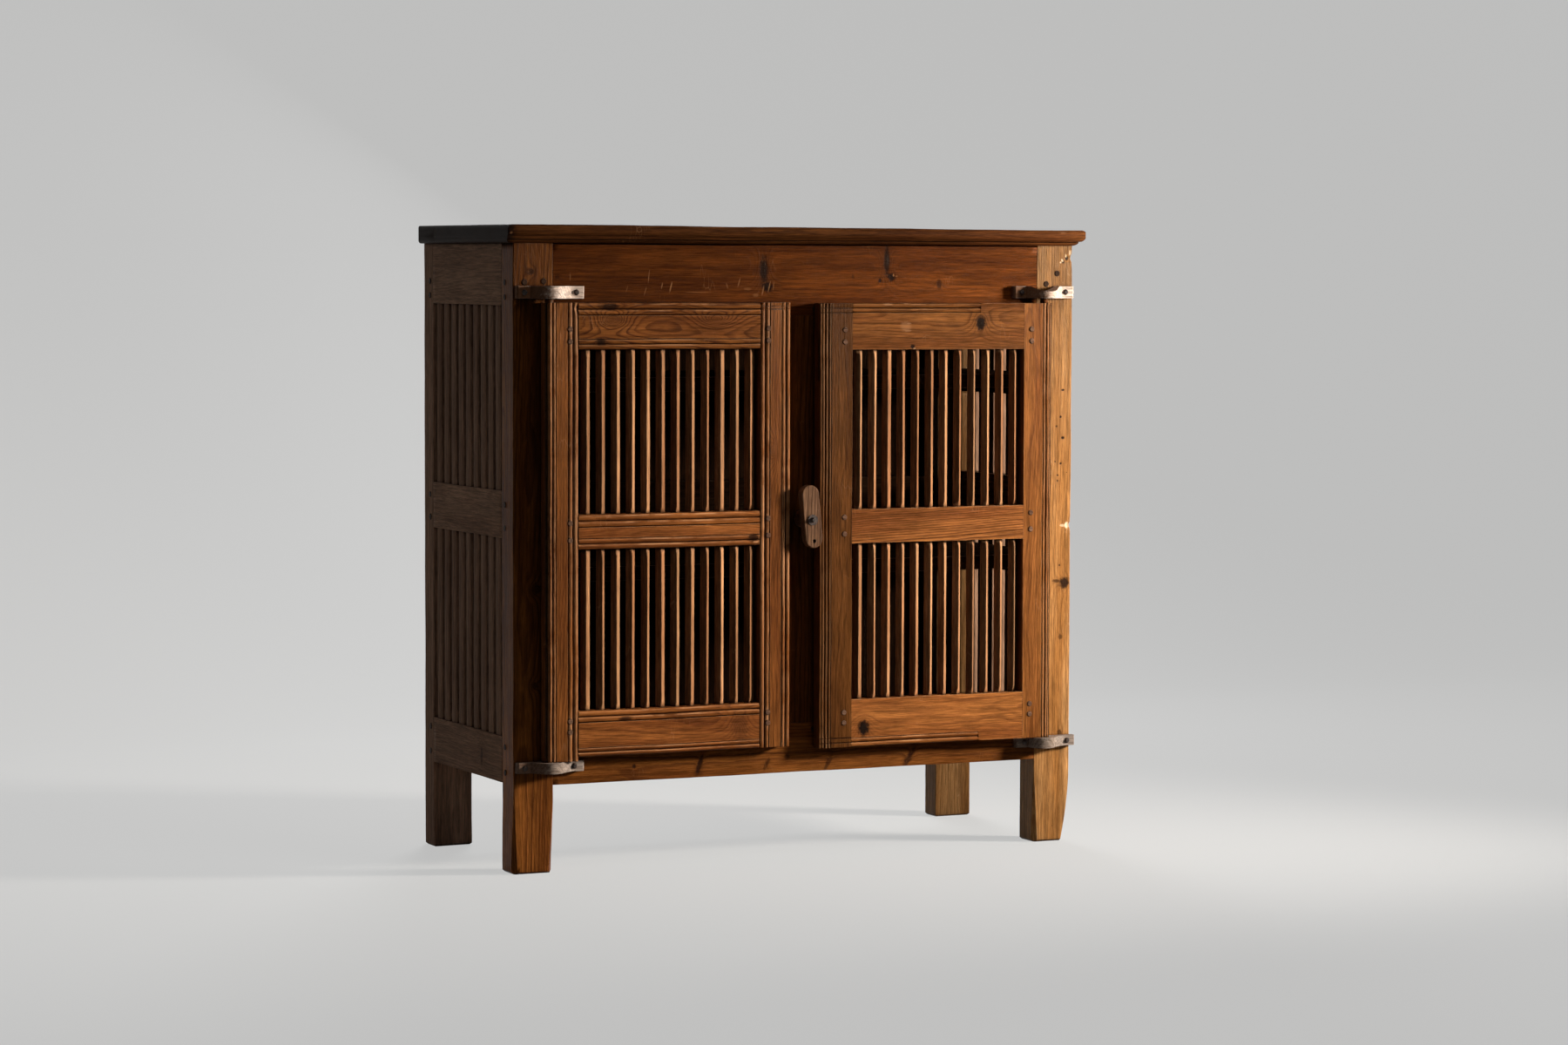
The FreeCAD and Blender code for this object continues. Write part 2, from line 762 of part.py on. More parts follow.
# The turn button, drawn lying along X about its nail and then turned upright
def make_button():
    half = button_width / 2
    left = -button_long_arm + half
    right = button_short_arm - half
    bar = joined([
        block(left, right, button_front, button_back, -half, half),
        Part.makeCylinder(half, button_thickness, Vector(left, button_front, 0), back),
        Part.makeCylinder(half, button_thickness, Vector(right, button_front, 0), back),
    ])
    rims = [edge for edge in bar.Edges if edge.BoundBox.YLength < 0.001]
    bar = bar.makeFillet(button_arris, rims)
    long_hole = button_thickness + 2 * cut_spare
    start = Vector(0, button_front - cut_spare, 0)
    bar = bar.cut(Part.makeCylinder(button_nail_radius + pin_clearance, long_hole, start, back))
    hole = Part.makeCylinder(button_hole_radius, long_hole, start + across * button_hole_offset, back)
    bar = bar.cut(hole)
    bar.rotate(Vector(0, 0, 0), back, 90 - button_tilt)
    bar.translate(Vector(button_x, 0, button_height))
    return bar


def make_carcass():
    pieces = {}
    pieces["front_left_post"], pieces["front_right_post"] = make_front_posts()
    pieces["back_left_post"] = make_post(0, back_inside, body_depth)
    pieces["back_right_post"] = make_post(right_inside, back_inside, body_depth)
    posts = ["front_left_post", "front_right_post", "back_left_post", "back_right_post"]

    # Front and back rails
    front_levels = {
        "front_top_rail": (front_top_rail_bottom, rail_top),
        "front_bottom_rail": (leg_clear, front_bottom_rail_top),
    }
    mortises = []
    for name, (low, high) in front_levels.items():
        pieces[name], mortise = rail_across(
            left_inside, right_inside, 0, rail_thickness, low, high,
            front_tenon_length, tenon_setback, tenon_thickness, tenon_shoulder,
        )
        mortises.append(mortise)
    back_levels = {
        "back_top_rail": rail_top - back_rail_height,
        "back_middle_rail": side_middle_rail_bottom,
        "back_bottom_rail": side_bottom_rail_bottom,
    }
    back_tenon_y = back_rail_face + (back_rail_thickness - tenon_thickness) / 2
    for name, low in back_levels.items():
        pieces[name], mortise = rail_across(
            left_inside, right_inside, back_rail_face, back_rail_thickness, low, low + back_rail_height,
            back_tenon_length, back_tenon_y, tenon_thickness, tenon_shoulder,
        )
        mortises.append(mortise)

    # The stile between the doors stands between the front rails
    stile = eased(
        block(stile_left, stile_right, 0, rail_thickness, front_bottom_rail_top, front_top_rail_bottom),
        up, rail_arris,
    )
    stile_tenon = block(
        stile_left + tenon_shoulder, stile_right - tenon_shoulder,
        tenon_setback, tenon_setback + tenon_thickness,
        front_bottom_rail_top - stile_tenon_length, front_top_rail_bottom + stile_tenon_length,
    )
    pieces["centre_stile"] = joined([stile, stile_tenon])
    stile_mortise = tenon_mortise(stile_tenon, up)
    for name in front_levels:
        pieces[name] = pieces[name].cut(stile_mortise)

    # Side rails and slats
    side_levels = {
        "top": (side_top_rail_bottom, body_height),
        "middle": (side_middle_rail_bottom, side_middle_rail_bottom + side_middle_rail_height),
        "bottom": (side_bottom_rail_bottom, side_bottom_rail_bottom + side_bottom_rail_height),
    }
    upper_slats = make_slats(side_levels["middle"][1], side_levels["top"][0])
    lower_slats = make_slats(side_levels["bottom"][1], side_levels["middle"][0])
    for level, (low, high) in side_levels.items():
        rail, mortise = side_rail(low, high)
        rail = rail.cut(upper_slats + lower_slats)
        pieces["left_side_" + level + "_rail"] = rail
        pieces["right_side_" + level + "_rail"] = mirrored(rail)
        mortises += [mortise, mirrored(mortise)]
    for name, slats in (("upper", upper_slats), ("lower", lower_slats)):
        pieces["left_" + name + "_slats"] = Part.makeCompound(slats)
        pieces["right_" + name + "_slats"] = mirrored(Part.makeCompound(slats))

    # Shelf bearers are housed in the posts
    upper_bearer = make_bearer(upper_shelf_top - shelf_thickness)
    lower_bearer = make_bearer(lower_shelf_top - shelf_thickness)
    for name, bearer in (("upper", upper_bearer), ("lower", lower_bearer)):
        pair = [bearer, mirrored(bearer)]
        pieces[name + "_shelf_bearers"] = Part.makeCompound(pair)
        mortises += pair
    cut_for(pieces, posts, mortises)

    # Bottom boards on bearers that are nailed inside the bottom rails
    bearer_top = bottom_board_top - bottom_board_thickness
    bearer_low = bearer_top - bottom_bearer_height
    side_bearer = block(
        rail_thickness, rail_thickness + bearer_thickness, front_inside, back_inside, bearer_low, bearer_top
    )
    front_bearer = block(
        left_inside, right_inside, rail_thickness, rail_thickness + bearer_thickness, bearer_low, bearer_top
    )
    back_bearer = block(
        left_inside, right_inside, back_rail_face - bearer_thickness, back_rail_face, bearer_low, bearer_top
    )
    bottom_bearers = [side_bearer, mirrored(side_bearer), front_bearer, back_bearer]
    pieces["bottom_bearers"] = Part.makeCompound(bottom_bearers)
    bottom = make_layer(
        rail_thickness + board_gap, body_width - rail_thickness - board_gap,
        rail_thickness + board_gap, back_rail_face - board_gap, bottom_board_top, bottom_board_thickness,
    )
    shelf_x0 = slat_inner_face + board_gap
    shelves = {"bottom": bottom}
    for name, top in (("upper_shelf", upper_shelf_top), ("lower_shelf", lower_shelf_top)):
        shelves[name] = make_layer(
            shelf_x0, body_width - shelf_x0, rail_thickness + board_gap, back_board_face - board_gap,
            top, shelf_thickness,
        )
    for name, (front_board, back_board) in shelves.items():
        pieces[name + "_front_board"] = front_board
        pieces[name + "_back_board"] = back_board

    # Back boards stand side by side behind the back rails
    run = right_inside - left_inside
    board_width = (run - (back_board_count + 1) * board_gap) / back_board_count
    boards = []
    for index in range(back_board_count):
        x0 = left_inside + board_gap + index * (board_width + board_gap)
        boards.append(
            block(x0, x0 + board_width, back_board_face, body_depth, side_bottom_rail_bottom, body_height)
        )
    pieces["back_boards"] = Part.makeCompound(boards)
    pieces["top_front_plank"], pieces["top_back_plank"] = make_top()

    add_frame_pegs(pieces, front_levels, back_levels, side_levels)
    add_nails(pieces, shelves, back_levels, board_width, bearer_low)
    return pieces


def add_frame_pegs(pieces, front_levels, back_levels, side_levels):
    pegs = []
    top_low = front_levels["front_top_rail"][0]
    bottom_low = front_levels["front_bottom_rail"][0]
    for inset, rise in left_front_pegs:
        pegs.append(make_peg(frame_peg_radius, frame_peg_length, Vector(inset, 0, top_low + rise), back))
    for inset, rise in right_front_pegs:
        start = Vector(body_width - inset, 0, top_low + rise)
        pegs.append(make_peg(frame_peg_radius, frame_peg_length, start, back))
    for x in (low_front_peg[0], body_width - low_front_peg[0]):
        start = Vector(x, 0, bottom_low + low_front_peg[1])
        pegs.append(make_peg(frame_peg_radius, frame_peg_length, start, back))
    peg_inset = tenon_shoulder + stile_peg_inset
    for x in (stile_left + peg_inset, stile_right - peg_inset):
        for z in (front_top_rail_bottom + stile_peg_depth, front_bottom_rail_top - stile_peg_depth):
            pegs.append(make_peg(frame_peg_radius, rail_thickness + peg_proud, Vector(x, 0, z), back))
    for level, (low, _) in side_levels.items():
        for rise in side_peg_offsets[level]:
            for y in (front_inside - side_peg_inset, back_inside + side_peg_inset):
                peg = make_peg(frame_peg_radius, frame_peg_length, Vector(0, y, low + rise), across)
                pegs += [peg, mirrored(peg)]
    for low in back_levels.values():
        for x in (back_peg_inset, body_width - back_peg_inset):
            start = Vector(x, body_depth - peg_proud, low + back_rail_height / 2)
            pegs.append(make_peg(frame_peg_radius, frame_peg_length, start, back * -1))
    wooden = [name for name in pieces if name.endswith(("_post", "_rail", "_stile"))]
    cut_for(pieces, wooden, pegs)
    pieces["frame_pegs"] = Part.makeCompound(pegs)


def add_nails(pieces, shelves, back_levels, board_width, bearer_low):
    down = up * -1
    nails = []
    top = body_height + top_thickness
    end_y = rail_thickness / 2
    for x in (post_width / 2, top_nail_inset, body_width - top_nail_inset, body_width - post_width / 2):
        for y in (end_y, back_rail_face + back_rail_thickness / 2):
            nails.append(flush_nail(Vector(x, y, top), down))
    nail_x = slat_inner_face + board_gap + bearer_thickness / 2
    for name, level in (("upper_shelf", upper_shelf_top), ("lower_shelf", lower_shelf_top)):
        for board in shelves[name]:
            for x in (nail_x, body_width - nail_x):
                y = board.BoundBox.Center.y
                nails.append(flush_nail(Vector(x, y, level), down))
    nail_x = rail_thickness + bearer_thickness / 2
    for board in shelves["bottom"]:
        for x in (nail_x, body_width - nail_x):
            nails.append(flush_nail(Vector(x, board.BoundBox.Center.y, bottom_board_top), down))
    bearer_z = bearer_low + bearer_nail_rise
    for share in long_bearer_nails:
        x = left_inside + (right_inside - left_inside) * share
        y = rail_thickness + bearer_thickness
        nails.append(flush_nail(Vector(x, y, bearer_z), back * -1))
        nails.append(flush_nail(Vector(x, back_rail_face - bearer_thickness, bearer_z), back))
    for share in short_bearer_nails:
        y = front_inside + (back_inside - front_inside) * share
        x = rail_thickness + bearer_thickness
        nails.append(flush_nail(Vector(x, y, bearer_z), across * -1))
        nails.append(flush_nail(Vector(body_width - x, y, bearer_z), across))

    for index in range(back_board_count):
        middle = left_inside + board_gap + index * (board_width + board_gap) + board_width / 2
        for side in back_board_nails:
            for low in back_levels.values():
                start = Vector(middle + side * board_width, body_depth, low + back_nail_rise)
                nails.append(
                    make_nail(
                        nail_radius, nail_head_radius, nail_head_height,
                        back_nail_length,
                        start - back * nail_head_height, back * -1,
                    )
                )
    cut_for(pieces, [name for name in pieces if not name.endswith("_pegs")], nails)
    pieces["board_nails"] = Part.makeCompound(nails)


def add_brackets(pieces, pivots):
    left_x, right_x = pivots
    nails = []
    for place, arms in bracket_arms.items():
        level, end = place.split("_")
        x = left_x if end == "left" else right_x
        outward = -1 if end == "left" else 1
        z0 = top_bracket_bottom if level == "top" else bottom_bracket_bottom
        height = top_bracket_height if level == "top" else bottom_bracket_height
        bracket = make_bracket(x, outward, arms[0], arms[1], z0, height)
        if place == "top_right":
            radius = ((dish_width / 2) ** 2 + dish_depth ** 2) / (2 * dish_depth)
            centre = Vector(x, -3 * bracket_nose_radius, z0 + height - dish_depth + radius)
            bracket = bracket.cut(Part.makeCylinder(radius, 4 * bracket_nose_radius, centre, back))
        own_nails = bracket_nails(x, outward, arms, bracket_nail_insets[place], z0 + height / 2)
        pieces[place + "_pivot_bracket"] = bracket.cut(own_nails)
        nails += own_nails
    frame_names = ["front_left_post", "front_right_post", "front_top_rail", "front_bottom_rail"]
    cut_for(pieces, frame_names, nails)
    pieces["bracket_nails"] = Part.makeCompound(nails)


def add_turn_button(pieces):
    pieces["turn_button"] = make_button()
    collar_front = button_back + seat_clearance
    collar_place = Vector(button_x, collar_front, button_height)
    collar = Part.makeCylinder(collar_radius, -collar_front, collar_place, back)
    washer_front = button_front - seat_clearance - washer_thickness
    centre = Vector(button_x, washer_front, button_height)
    washer = Part.makeCylinder(washer_radius, washer_thickness, centre, back)
    shank = Part.makeCylinder(button_nail_radius, button_nail_depth - washer_front, centre, back)
    head = Part.makeCone(
        button_head_radius, button_head_top_radius, button_head_height, centre, back * -1
    )
    pieces["button_nail"] = joined([shank, head])
    pieces["button_washer"] = washer.cut(shank)
    pieces["button_collar"] = collar.cut(shank)
    pieces["centre_stile"] = pieces["centre_stile"].cut(shank)


def main():
    os.makedirs("parts", exist_ok=True)
    pieces = make_carcass()
    left_pivot = left_door["margin"] + pivot_setback
    right_pivot = body_width - right_door["margin"] - pivot_setback
    add_brackets(pieces, (left_pivot, right_pivot))
    add_turn_button(pieces)
    left_pin_top = top_bracket_top + peg_proud
    right_pin_top = top_bracket_top - dish_depth + peg_proud
    pieces.update(make_door("left_door", left_door, False, 0.4, left_pin_top))
    pieces.update(make_door("right_door", right_door, True, 1.5, right_pin_top))

    # The origin is under the middle of the whole, at the floor
    shift = Vector(-body_width / 2, -(front_reach + body_depth) / 2, 0)
    for name, shape in sorted(pieces.items()):
        placed = shape.copy()
        placed.translate(shift)
        placed.exportStep(os.path.join("parts", name + ".step"))
        print(name, len(placed.Solids), placed.isValid(), round(placed.Volume / 1000, 2))
    print("nodes", len(pieces), "shift", shift)


main()
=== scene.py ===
import json
import math

import bmesh
import bpy
from mathutils import Matrix, Vector, noise

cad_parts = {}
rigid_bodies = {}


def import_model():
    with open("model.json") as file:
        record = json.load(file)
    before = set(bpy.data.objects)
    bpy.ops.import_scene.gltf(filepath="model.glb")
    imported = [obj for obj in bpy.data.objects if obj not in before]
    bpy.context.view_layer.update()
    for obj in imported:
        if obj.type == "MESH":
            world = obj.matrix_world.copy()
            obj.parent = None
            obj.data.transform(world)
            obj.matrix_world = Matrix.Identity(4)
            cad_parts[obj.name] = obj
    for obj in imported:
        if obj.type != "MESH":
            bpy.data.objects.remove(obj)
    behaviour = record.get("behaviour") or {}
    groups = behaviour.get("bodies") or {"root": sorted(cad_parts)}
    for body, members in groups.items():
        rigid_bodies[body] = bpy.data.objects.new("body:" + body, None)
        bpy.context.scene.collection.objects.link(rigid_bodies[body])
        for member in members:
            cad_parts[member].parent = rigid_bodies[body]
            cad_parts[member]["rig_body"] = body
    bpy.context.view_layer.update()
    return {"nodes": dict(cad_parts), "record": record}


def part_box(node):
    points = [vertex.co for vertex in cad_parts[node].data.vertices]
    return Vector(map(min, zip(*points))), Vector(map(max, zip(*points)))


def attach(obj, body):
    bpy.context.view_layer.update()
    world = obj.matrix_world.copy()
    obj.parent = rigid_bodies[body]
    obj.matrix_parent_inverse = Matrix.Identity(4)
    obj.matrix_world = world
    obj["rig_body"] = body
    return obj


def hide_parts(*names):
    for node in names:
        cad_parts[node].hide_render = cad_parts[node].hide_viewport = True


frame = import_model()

slotOf = {part["node"]: part["material_slot"] for part in frame["record"]["subparts"]}
print("frame loaded:", len(frame["nodes"]), "pieces")

# Where the camera stands and how it is turned, in degrees
camera = {
    "place": (-3.47557, -7.45660, 1.13641),
    "yaw": 25.381,
    "pitch": -3.523,
    "roll": 0.174,
    "lens": 97.12,
}

# Each lamp: its place, what it aims at, size, power, colour and spread in degrees
lamps = {
    "keyLamp": ((3.05, -1.62, 1.35), (0.35, -0.22, 0.66), 0.6, 27.0, (1.0, 0.94, 0.86), 55.0),
    "fillLamp": ((-5.0, -2.2, 2.6), (0.0, 0.0, 0.6), 2.6, 7.5, (0.91, 0.95, 1.0), 180.0),
    "overLamp": ((0.5, -1.7, 3.3), (0.0, -0.1, 0.8), 0.9, 12.0, (1.0, 0.97, 0.93), 180.0),
    "backLamp": ((0.9, 2.7, 2.0), (0.0, 0.2, 0.6), 1.2, 42.0, (1.0, 1.0, 1.0), 180.0),
}

# The pale floor bends up into a wall behind the object
studio = {
    "skyColor": (0.93, 0.96, 1.0), "skyStrength": 0.05, "seenSky": 0.53, "seenColor": (1.0, 1.0, 0.99),
    "paleness": 0.17, "glow": 0.50, "floorBounce": 0.16,
    "front": -8.0, "back": 2.0, "halfWidth": 9.0, "bend": 1.2, "bendSteps": 10, "wallTop": 8.0,
}


def makeCamera():
    yaw, pitch, roll = (math.radians(camera[key]) for key in ("yaw", "pitch", "roll"))
    ahead = Vector((math.sin(yaw) * math.cos(pitch), math.cos(yaw) * math.cos(pitch), math.sin(pitch)))
    level = Vector((math.cos(yaw), -math.sin(yaw), 0))
    upright = level.cross(ahead)
    right = level * math.cos(roll) + upright * math.sin(roll)
    above = upright * math.cos(roll) - level * math.sin(roll)
    data = bpy.data.cameras.new("photoCamera")
    data.lens = camera["lens"]
    data.sensor_width = 36.0
    data.clip_end = 100.0
    eye = bpy.data.objects.new("photoCamera", data)
    turn = Matrix((right, above, -ahead)).transposed().to_4x4()
    eye.matrix_world = Matrix.Translation(camera["place"]) @ turn
    bpy.context.scene.collection.objects.link(eye)
    bpy.context.scene.camera = eye


def makeLamp(name, place, aim, size, power, color, spread):
    data = bpy.data.lights.new(name, "AREA")
    data.shape = "DISK"
    data.size = size
    data.energy = power
    data.color = color
    data.spread = math.radians(spread)
    lamp = bpy.data.objects.new(name, data)
    lamp.location = place
    lamp.rotation_mode = "QUATERNION"
    lamp.rotation_quaternion = (Vector(aim) - Vector(place)).to_track_quat("-Z", "Y")
    lamp.visible_camera = False
    bpy.context.scene.collection.objects.link(lamp)


# Node tree helpers: a value given as a socket is linked, any other is written in
def addNode(tree, kind, inputs=None, **settings):
    node = tree.nodes.new(kind)
    for key, value in settings.items():
        setattr(node, key, value)
    for key, value in (inputs or {}).items():
        feed(tree, node.inputs[key], value)
    return node


def feed(tree, socket, value):
    if isinstance(value, bpy.types.NodeSocket):
        tree.links.new(value, socket)
    else:
        socket.default_value = value


def calc(tree, operation, *values, clamp=False):
    node = tree.nodes.new("ShaderNodeMath")
    node.operation = operation
    node.use_clamp = clamp
    for socket, value in zip(node.inputs, values):
        feed(tree, socket, value)
    return node.outputs[0]


def times(tree, first, second, clamp=False):
    return calc(tree, "MULTIPLY", first, second, clamp=clamp)


def scaled(tree, vector, scale):
    node = tree.nodes.new("ShaderNodeVectorMath")
    node.operation = "MULTIPLY"
    feed(tree, node.inputs[0], vector)
    feed(tree, node.inputs[1], scale)
    return node.outputs[0]


def apart(tree, vector):
    return addNode(tree, "ShaderNodeSeparateXYZ", {0: vector}).outputs


def joined(tree, x=0.0, y=0.0, z=0.0):
    return addNode(tree, "ShaderNodeCombineXYZ", {0: x, 1: y, 2: z}).outputs[0]


def marked(tree, name):
    return addNode(tree, "ShaderNodeAttribute", attribute_name=name).outputs["Fac"]


def newGroup(name, kind, inputs, outputs):
    tree = bpy.data.node_groups.new(name, kind)
    for label, socketType, value in inputs:
        socket = tree.interface.new_socket(label, in_out="INPUT", socket_type="NodeSocket" + socketType)
        if value is not None:
            socket.default_value = value
    for label, socketType in outputs:
        tree.interface.new_socket(label, in_out="OUTPUT", socket_type="NodeSocket" + socketType)
    given = tree.nodes.new("NodeGroupInput")
    result = tree.nodes.new("NodeGroupOutput")
    return tree, given.outputs, result.inputs


def stretchedNoise(tree, vector, stretch, seed, detail=2.0, roughness=0.5):
    return addNode(tree, "ShaderNodeTexNoise", {
        "Vector": scaled(tree, vector, stretch), "W": seed, "Scale": 1.0, "Detail": detail,
        "Roughness": roughness,
    }, noise_dimensions="4D").outputs[0]


def ramp(tree, value, low, high, start=0.0, end=1.0):
    node = addNode(
        tree, "ShaderNodeMapRange",
        {"Value": value, "From Min": low, "From Max": high, "To Min": start, "To Max": end},
        interpolation_type="SMOOTHSTEP",
    )
    return node.outputs[0]


# Growth rings of a board. The vector runs along the grain, then in depth, then across, in metres
def buildRings():
    tree, given, result = newGroup(
        "pineRings", "ShaderNodeTree",
        [
            ("Vector", "Vector", None), ("Pith Depth", "Float", 0.06), ("Pith Across", "Float", 0.02),
            ("Drift", "Float", 0.03), ("Ring Width", "Float", 0.004), ("Wander", "Float", 0.02),
            ("Bend", "Float", 0.0), ("Seed", "Float", 0.0),
        ],
        [("Rings", "Float"), ("Fibre", "Float"), ("Streak", "Float"), ("Tone", "Float"), ("Blotch", "Float")],
    )
    vector, seed = given["Vector"], given["Seed"]
    split = apart(tree, vector)
    broad = calc(tree, "SUBTRACT", stretchedNoise(tree, vector, (2.4, 9, 9), seed), 0.5)
    small = calc(tree, "SUBTRACT", stretchedNoise(tree, vector, (14, 60, 60), seed, 3.0), 0.5)
    wander = times(tree, calc(tree, "MULTIPLY_ADD", small, 0.14, broad), given["Wander"])
    depth = calc(tree, "SUBTRACT", split[1], given["Pith Depth"])
    lean = calc(tree, "MULTIPLY_ADD", split[0], given["Drift"], split[2])
    across = calc(tree, "SUBTRACT", lean, given["Pith Across"])
    square = calc(tree, "MULTIPLY_ADD", depth, depth, times(tree, across, across))
    reach = calc(tree, "ADD", calc(tree, "SQRT", square), calc(tree, "ADD", wander, given["Bend"]))
    count = calc(tree, "DIVIDE", reach, given["Ring Width"])
    part = calc(tree, "FRACT", count)
    own = addNode(tree, "ShaderNodeTexWhiteNoise", {"W": calc(tree, "FLOOR", count)}, noise_dimensions="1D")
    strength = calc(tree, "MULTIPLY_ADD", own.outputs[0], 0.5, 0.5)
    late = times(tree, ramp(tree, part, 0.4, 0.86), ramp(tree, part, 1.0, 0.92))
    tree.links.new(times(tree, late, strength), result["Rings"])
    for label, stretch, octaves, roughness, crisp in (
        ("Fibre", (34, 760, 760), 3.0, 0.7, True), ("Streak", (9, 210, 210), 4.0, 0.65, True),
        ("Tone", (2.0, 22, 22), 4.0, 0.62, False), ("Blotch", (7, 13, 13), 3.0, 0.6, False),
    ):
        pattern = stretchedNoise(tree, vector, stretch, seed, octaves, roughness)
        tree.links.new(ramp(tree, pattern, 0.32, 0.68) if crisp else pattern, result[label])
    return tree


# One knot: how far it pushes the rings aside, its dark core and the stain round it
def buildKnot():
    tree, given, result = newGroup(
        "pineKnot", "ShaderNodeTree",
        [
            ("Vector", "Vector", None), ("Along", "Float", 0.0), ("Across", "Float", 0.0),
            ("Length", "Float", 0.012), ("Width", "Float", 0.012), ("Push", "Float", 1.0),
            ("Bend", "Float", 0.0), ("Core", "Float", 0.0), ("Stain", "Float", 0.0),
            ("Darkness", "Float", 1.0), ("Grit", "Float", 170.0), ("Lean", "Float", 0.0),
        ],
        [("Bend", "Float"), ("Core", "Float"), ("Stain", "Float")],
    )
    split = apart(tree, given["Vector"])
    fromAlong = calc(tree, "SUBTRACT", split[0], given["Along"])
    fromAcross = calc(tree, "SUBTRACT", split[2], given["Across"])
    leant = calc(tree, "MULTIPLY_ADD", fromAcross, times(tree, given["Lean"], -1.0), fromAlong)
    along = calc(tree, "DIVIDE", leant, given["Length"])
    across = calc(tree, "DIVIDE", fromAcross, given["Width"])
    square = calc(tree, "MULTIPLY_ADD", along, along, times(tree, across, across))
    distance = calc(tree, "SQRT", square)
    grit = joined(tree, given["Grit"], 60.0, given["Grit"])
    rough = stretchedNoise(tree, given["Vector"], grit, given["Along"], 3.0, 0.65)
    ragged = calc(tree, "MULTIPLY_ADD", calc(tree, "SUBTRACT", rough, 0.5), 1.1, distance)
    away = calc(tree, "EXPONENT", times(tree, distance, -1.1))
    push = times(tree, times(tree, given["Width"], given["Push"]), away)
    tree.links.new(calc(tree, "ADD", push, given["Bend"]), result["Bend"])
    core = times(tree, ramp(tree, ragged, 1.15, 0.5), given["Darkness"])
    tree.links.new(calc(tree, "MAXIMUM", core, given["Core"]), result["Core"])
    fade = calc(tree, "EXPONENT", times(tree, calc(tree, "MAXIMUM", ragged, 0.0), -1.3))
    stain = times(tree, fade, given["Darkness"])
    tree.links.new(calc(tree, "MAXIMUM", stain, given["Stain"]), result["Stain"])
    return tree


# Old surface: rubbed outer edges that are also painted highlights, lighter where they face up as if lit from
# above; painted shade in the corners, with dark joints near the ends; nicks and wormholes
def buildWearAndShade():
    tree, given, result = newGroup(
        "wearAndPaintedShade", "ShaderNodeTree",
        [
            ("Vector", "Vector", None), ("Grain", "Vector", None),
            ("Edge Width", "Float", 0.002), ("Shade Reach", "Float", 0.007),
            ("Nicks", "Float", 0.3), ("Worm", "Float", 0.3), ("Seed", "Float", 0.0),
        ],
        [("Rubbed And Lit", "Float"), ("Shade And Dirt", "Float"), ("Nick", "Float"), ("Hole", "Float"), ("Sheen", "Float")],
    )
    vector, seed = given["Vector"], given["Seed"]
    facing = addNode(tree, "ShaderNodeNewGeometry").outputs["Normal"]
    soft = addNode(tree, "ShaderNodeBevel", {"Radius": given["Edge Width"]}, samples=4).outputs[0]
    bent = addNode(tree, "ShaderNodeVectorMath", {0: soft, 1: facing}, operation="SUBTRACT").outputs[0]
    turned = addNode(
        tree, "ShaderNodeVectorTransform", {0: bent},
        vector_type="VECTOR", convert_from="WORLD", convert_to="OBJECT",
    ).outputs[0]
    towardsEnd = calc(tree, "ABSOLUTE", addNode(
        tree, "ShaderNodeVectorMath", {0: turned, 1: given["Grain"]}, operation="DOT_PRODUCT",
    ).outputs["Value"])
    size = addNode(tree, "ShaderNodeVectorMath", {0: bent}, operation="LENGTH").outputs["Value"]
    around = addNode(tree, "ShaderNodeAmbientOcclusion", {"Distance": given["Shade Reach"]}, samples=6)
    free = around.outputs["AO"]
    patchy = stretchedNoise(tree, vector, (45, 45, 45), seed, 3.0, 0.6)
    edge = ramp(tree, calc(tree, "SUBTRACT", size, times(tree, towardsEnd, 1.5)), 0.12, 0.55)
    # Painted highlight: edges facing up are rubbed lighter, as if lit from above
    upward = ramp(tree, apart(tree, bent)[2], -0.3, 0.3, 0.45, 1.0)
    rubbedAndLit = times(tree, times(tree, edge, upward), ramp(tree, patchy, 0.3, 0.62))
    tree.links.new(times(tree, rubbedAndLit, ramp(tree, free, 0.75, 0.98)), result["Rubbed And Lit"])
    # Dark joints near a piece's ends, and painted shade where the occlusion test finds surfaces close by, in
    # corners and grooves
    joint = times(tree, ramp(tree, towardsEnd, 0.15, 0.6), 0.75)
    tree.links.new(calc(tree, "MAXIMUM", ramp(tree, free, 0.9, 0.35), joint), result["Shade And Dirt"])
    cracks = addNode(
        tree, "ShaderNodeTexVoronoi", {"Vector": scaled(tree, vector, (120, 120, 28)), "Scale": 1.0},
        feature="DISTANCE_TO_EDGE",
    ).outputs[0]
    where = ramp(tree, stretchedNoise(tree, vector, (16, 16, 16), seed, 2.0), 0.6, 0.72)
    line = times(tree, ramp(tree, cracks, 0.05, 0.0), where)
    tree.links.new(times(tree, line, given["Nicks"]), result["Nick"])
    cells = addNode(
        tree, "ShaderNodeTexVoronoi", {"Vector": scaled(tree, vector, (38, 38, 38)), "Scale": 1.0},
    ).outputs
    chance = addNode(tree, "ShaderNodeSeparateColor", {0: cells["Color"]}).outputs[0]
    rare = ramp(tree, chance, 0.72, 0.74)
    hole = times(tree, ramp(tree, cells["Distance"], 0.045, 0.03), rare)
    tree.links.new(times(tree, hole, given["Worm"]), result["Hole"])
    tree.links.new(stretchedNoise(tree, vector, (24, 24, 24), seed, 4.0, 0.6), result["Sheen"])
    return tree


rings, knot, wearAndShade = buildRings(), buildKnot(), buildWearAndShade()

# How an object's directions turn into along, depth and across of the grain
grainTurns = {
    "level": Matrix.Identity(3),
    "upright": Matrix(((0, 0, 1), (0, 1, 0), (-1, 0, 0))),
    "sideLevel": Matrix(((0, 1, 0), (-1, 0, 0), (0, 0, 1))),
    "sideUpright": Matrix(((0, 0, 1), (1, 0, 0), (0, 1, 0))),
}
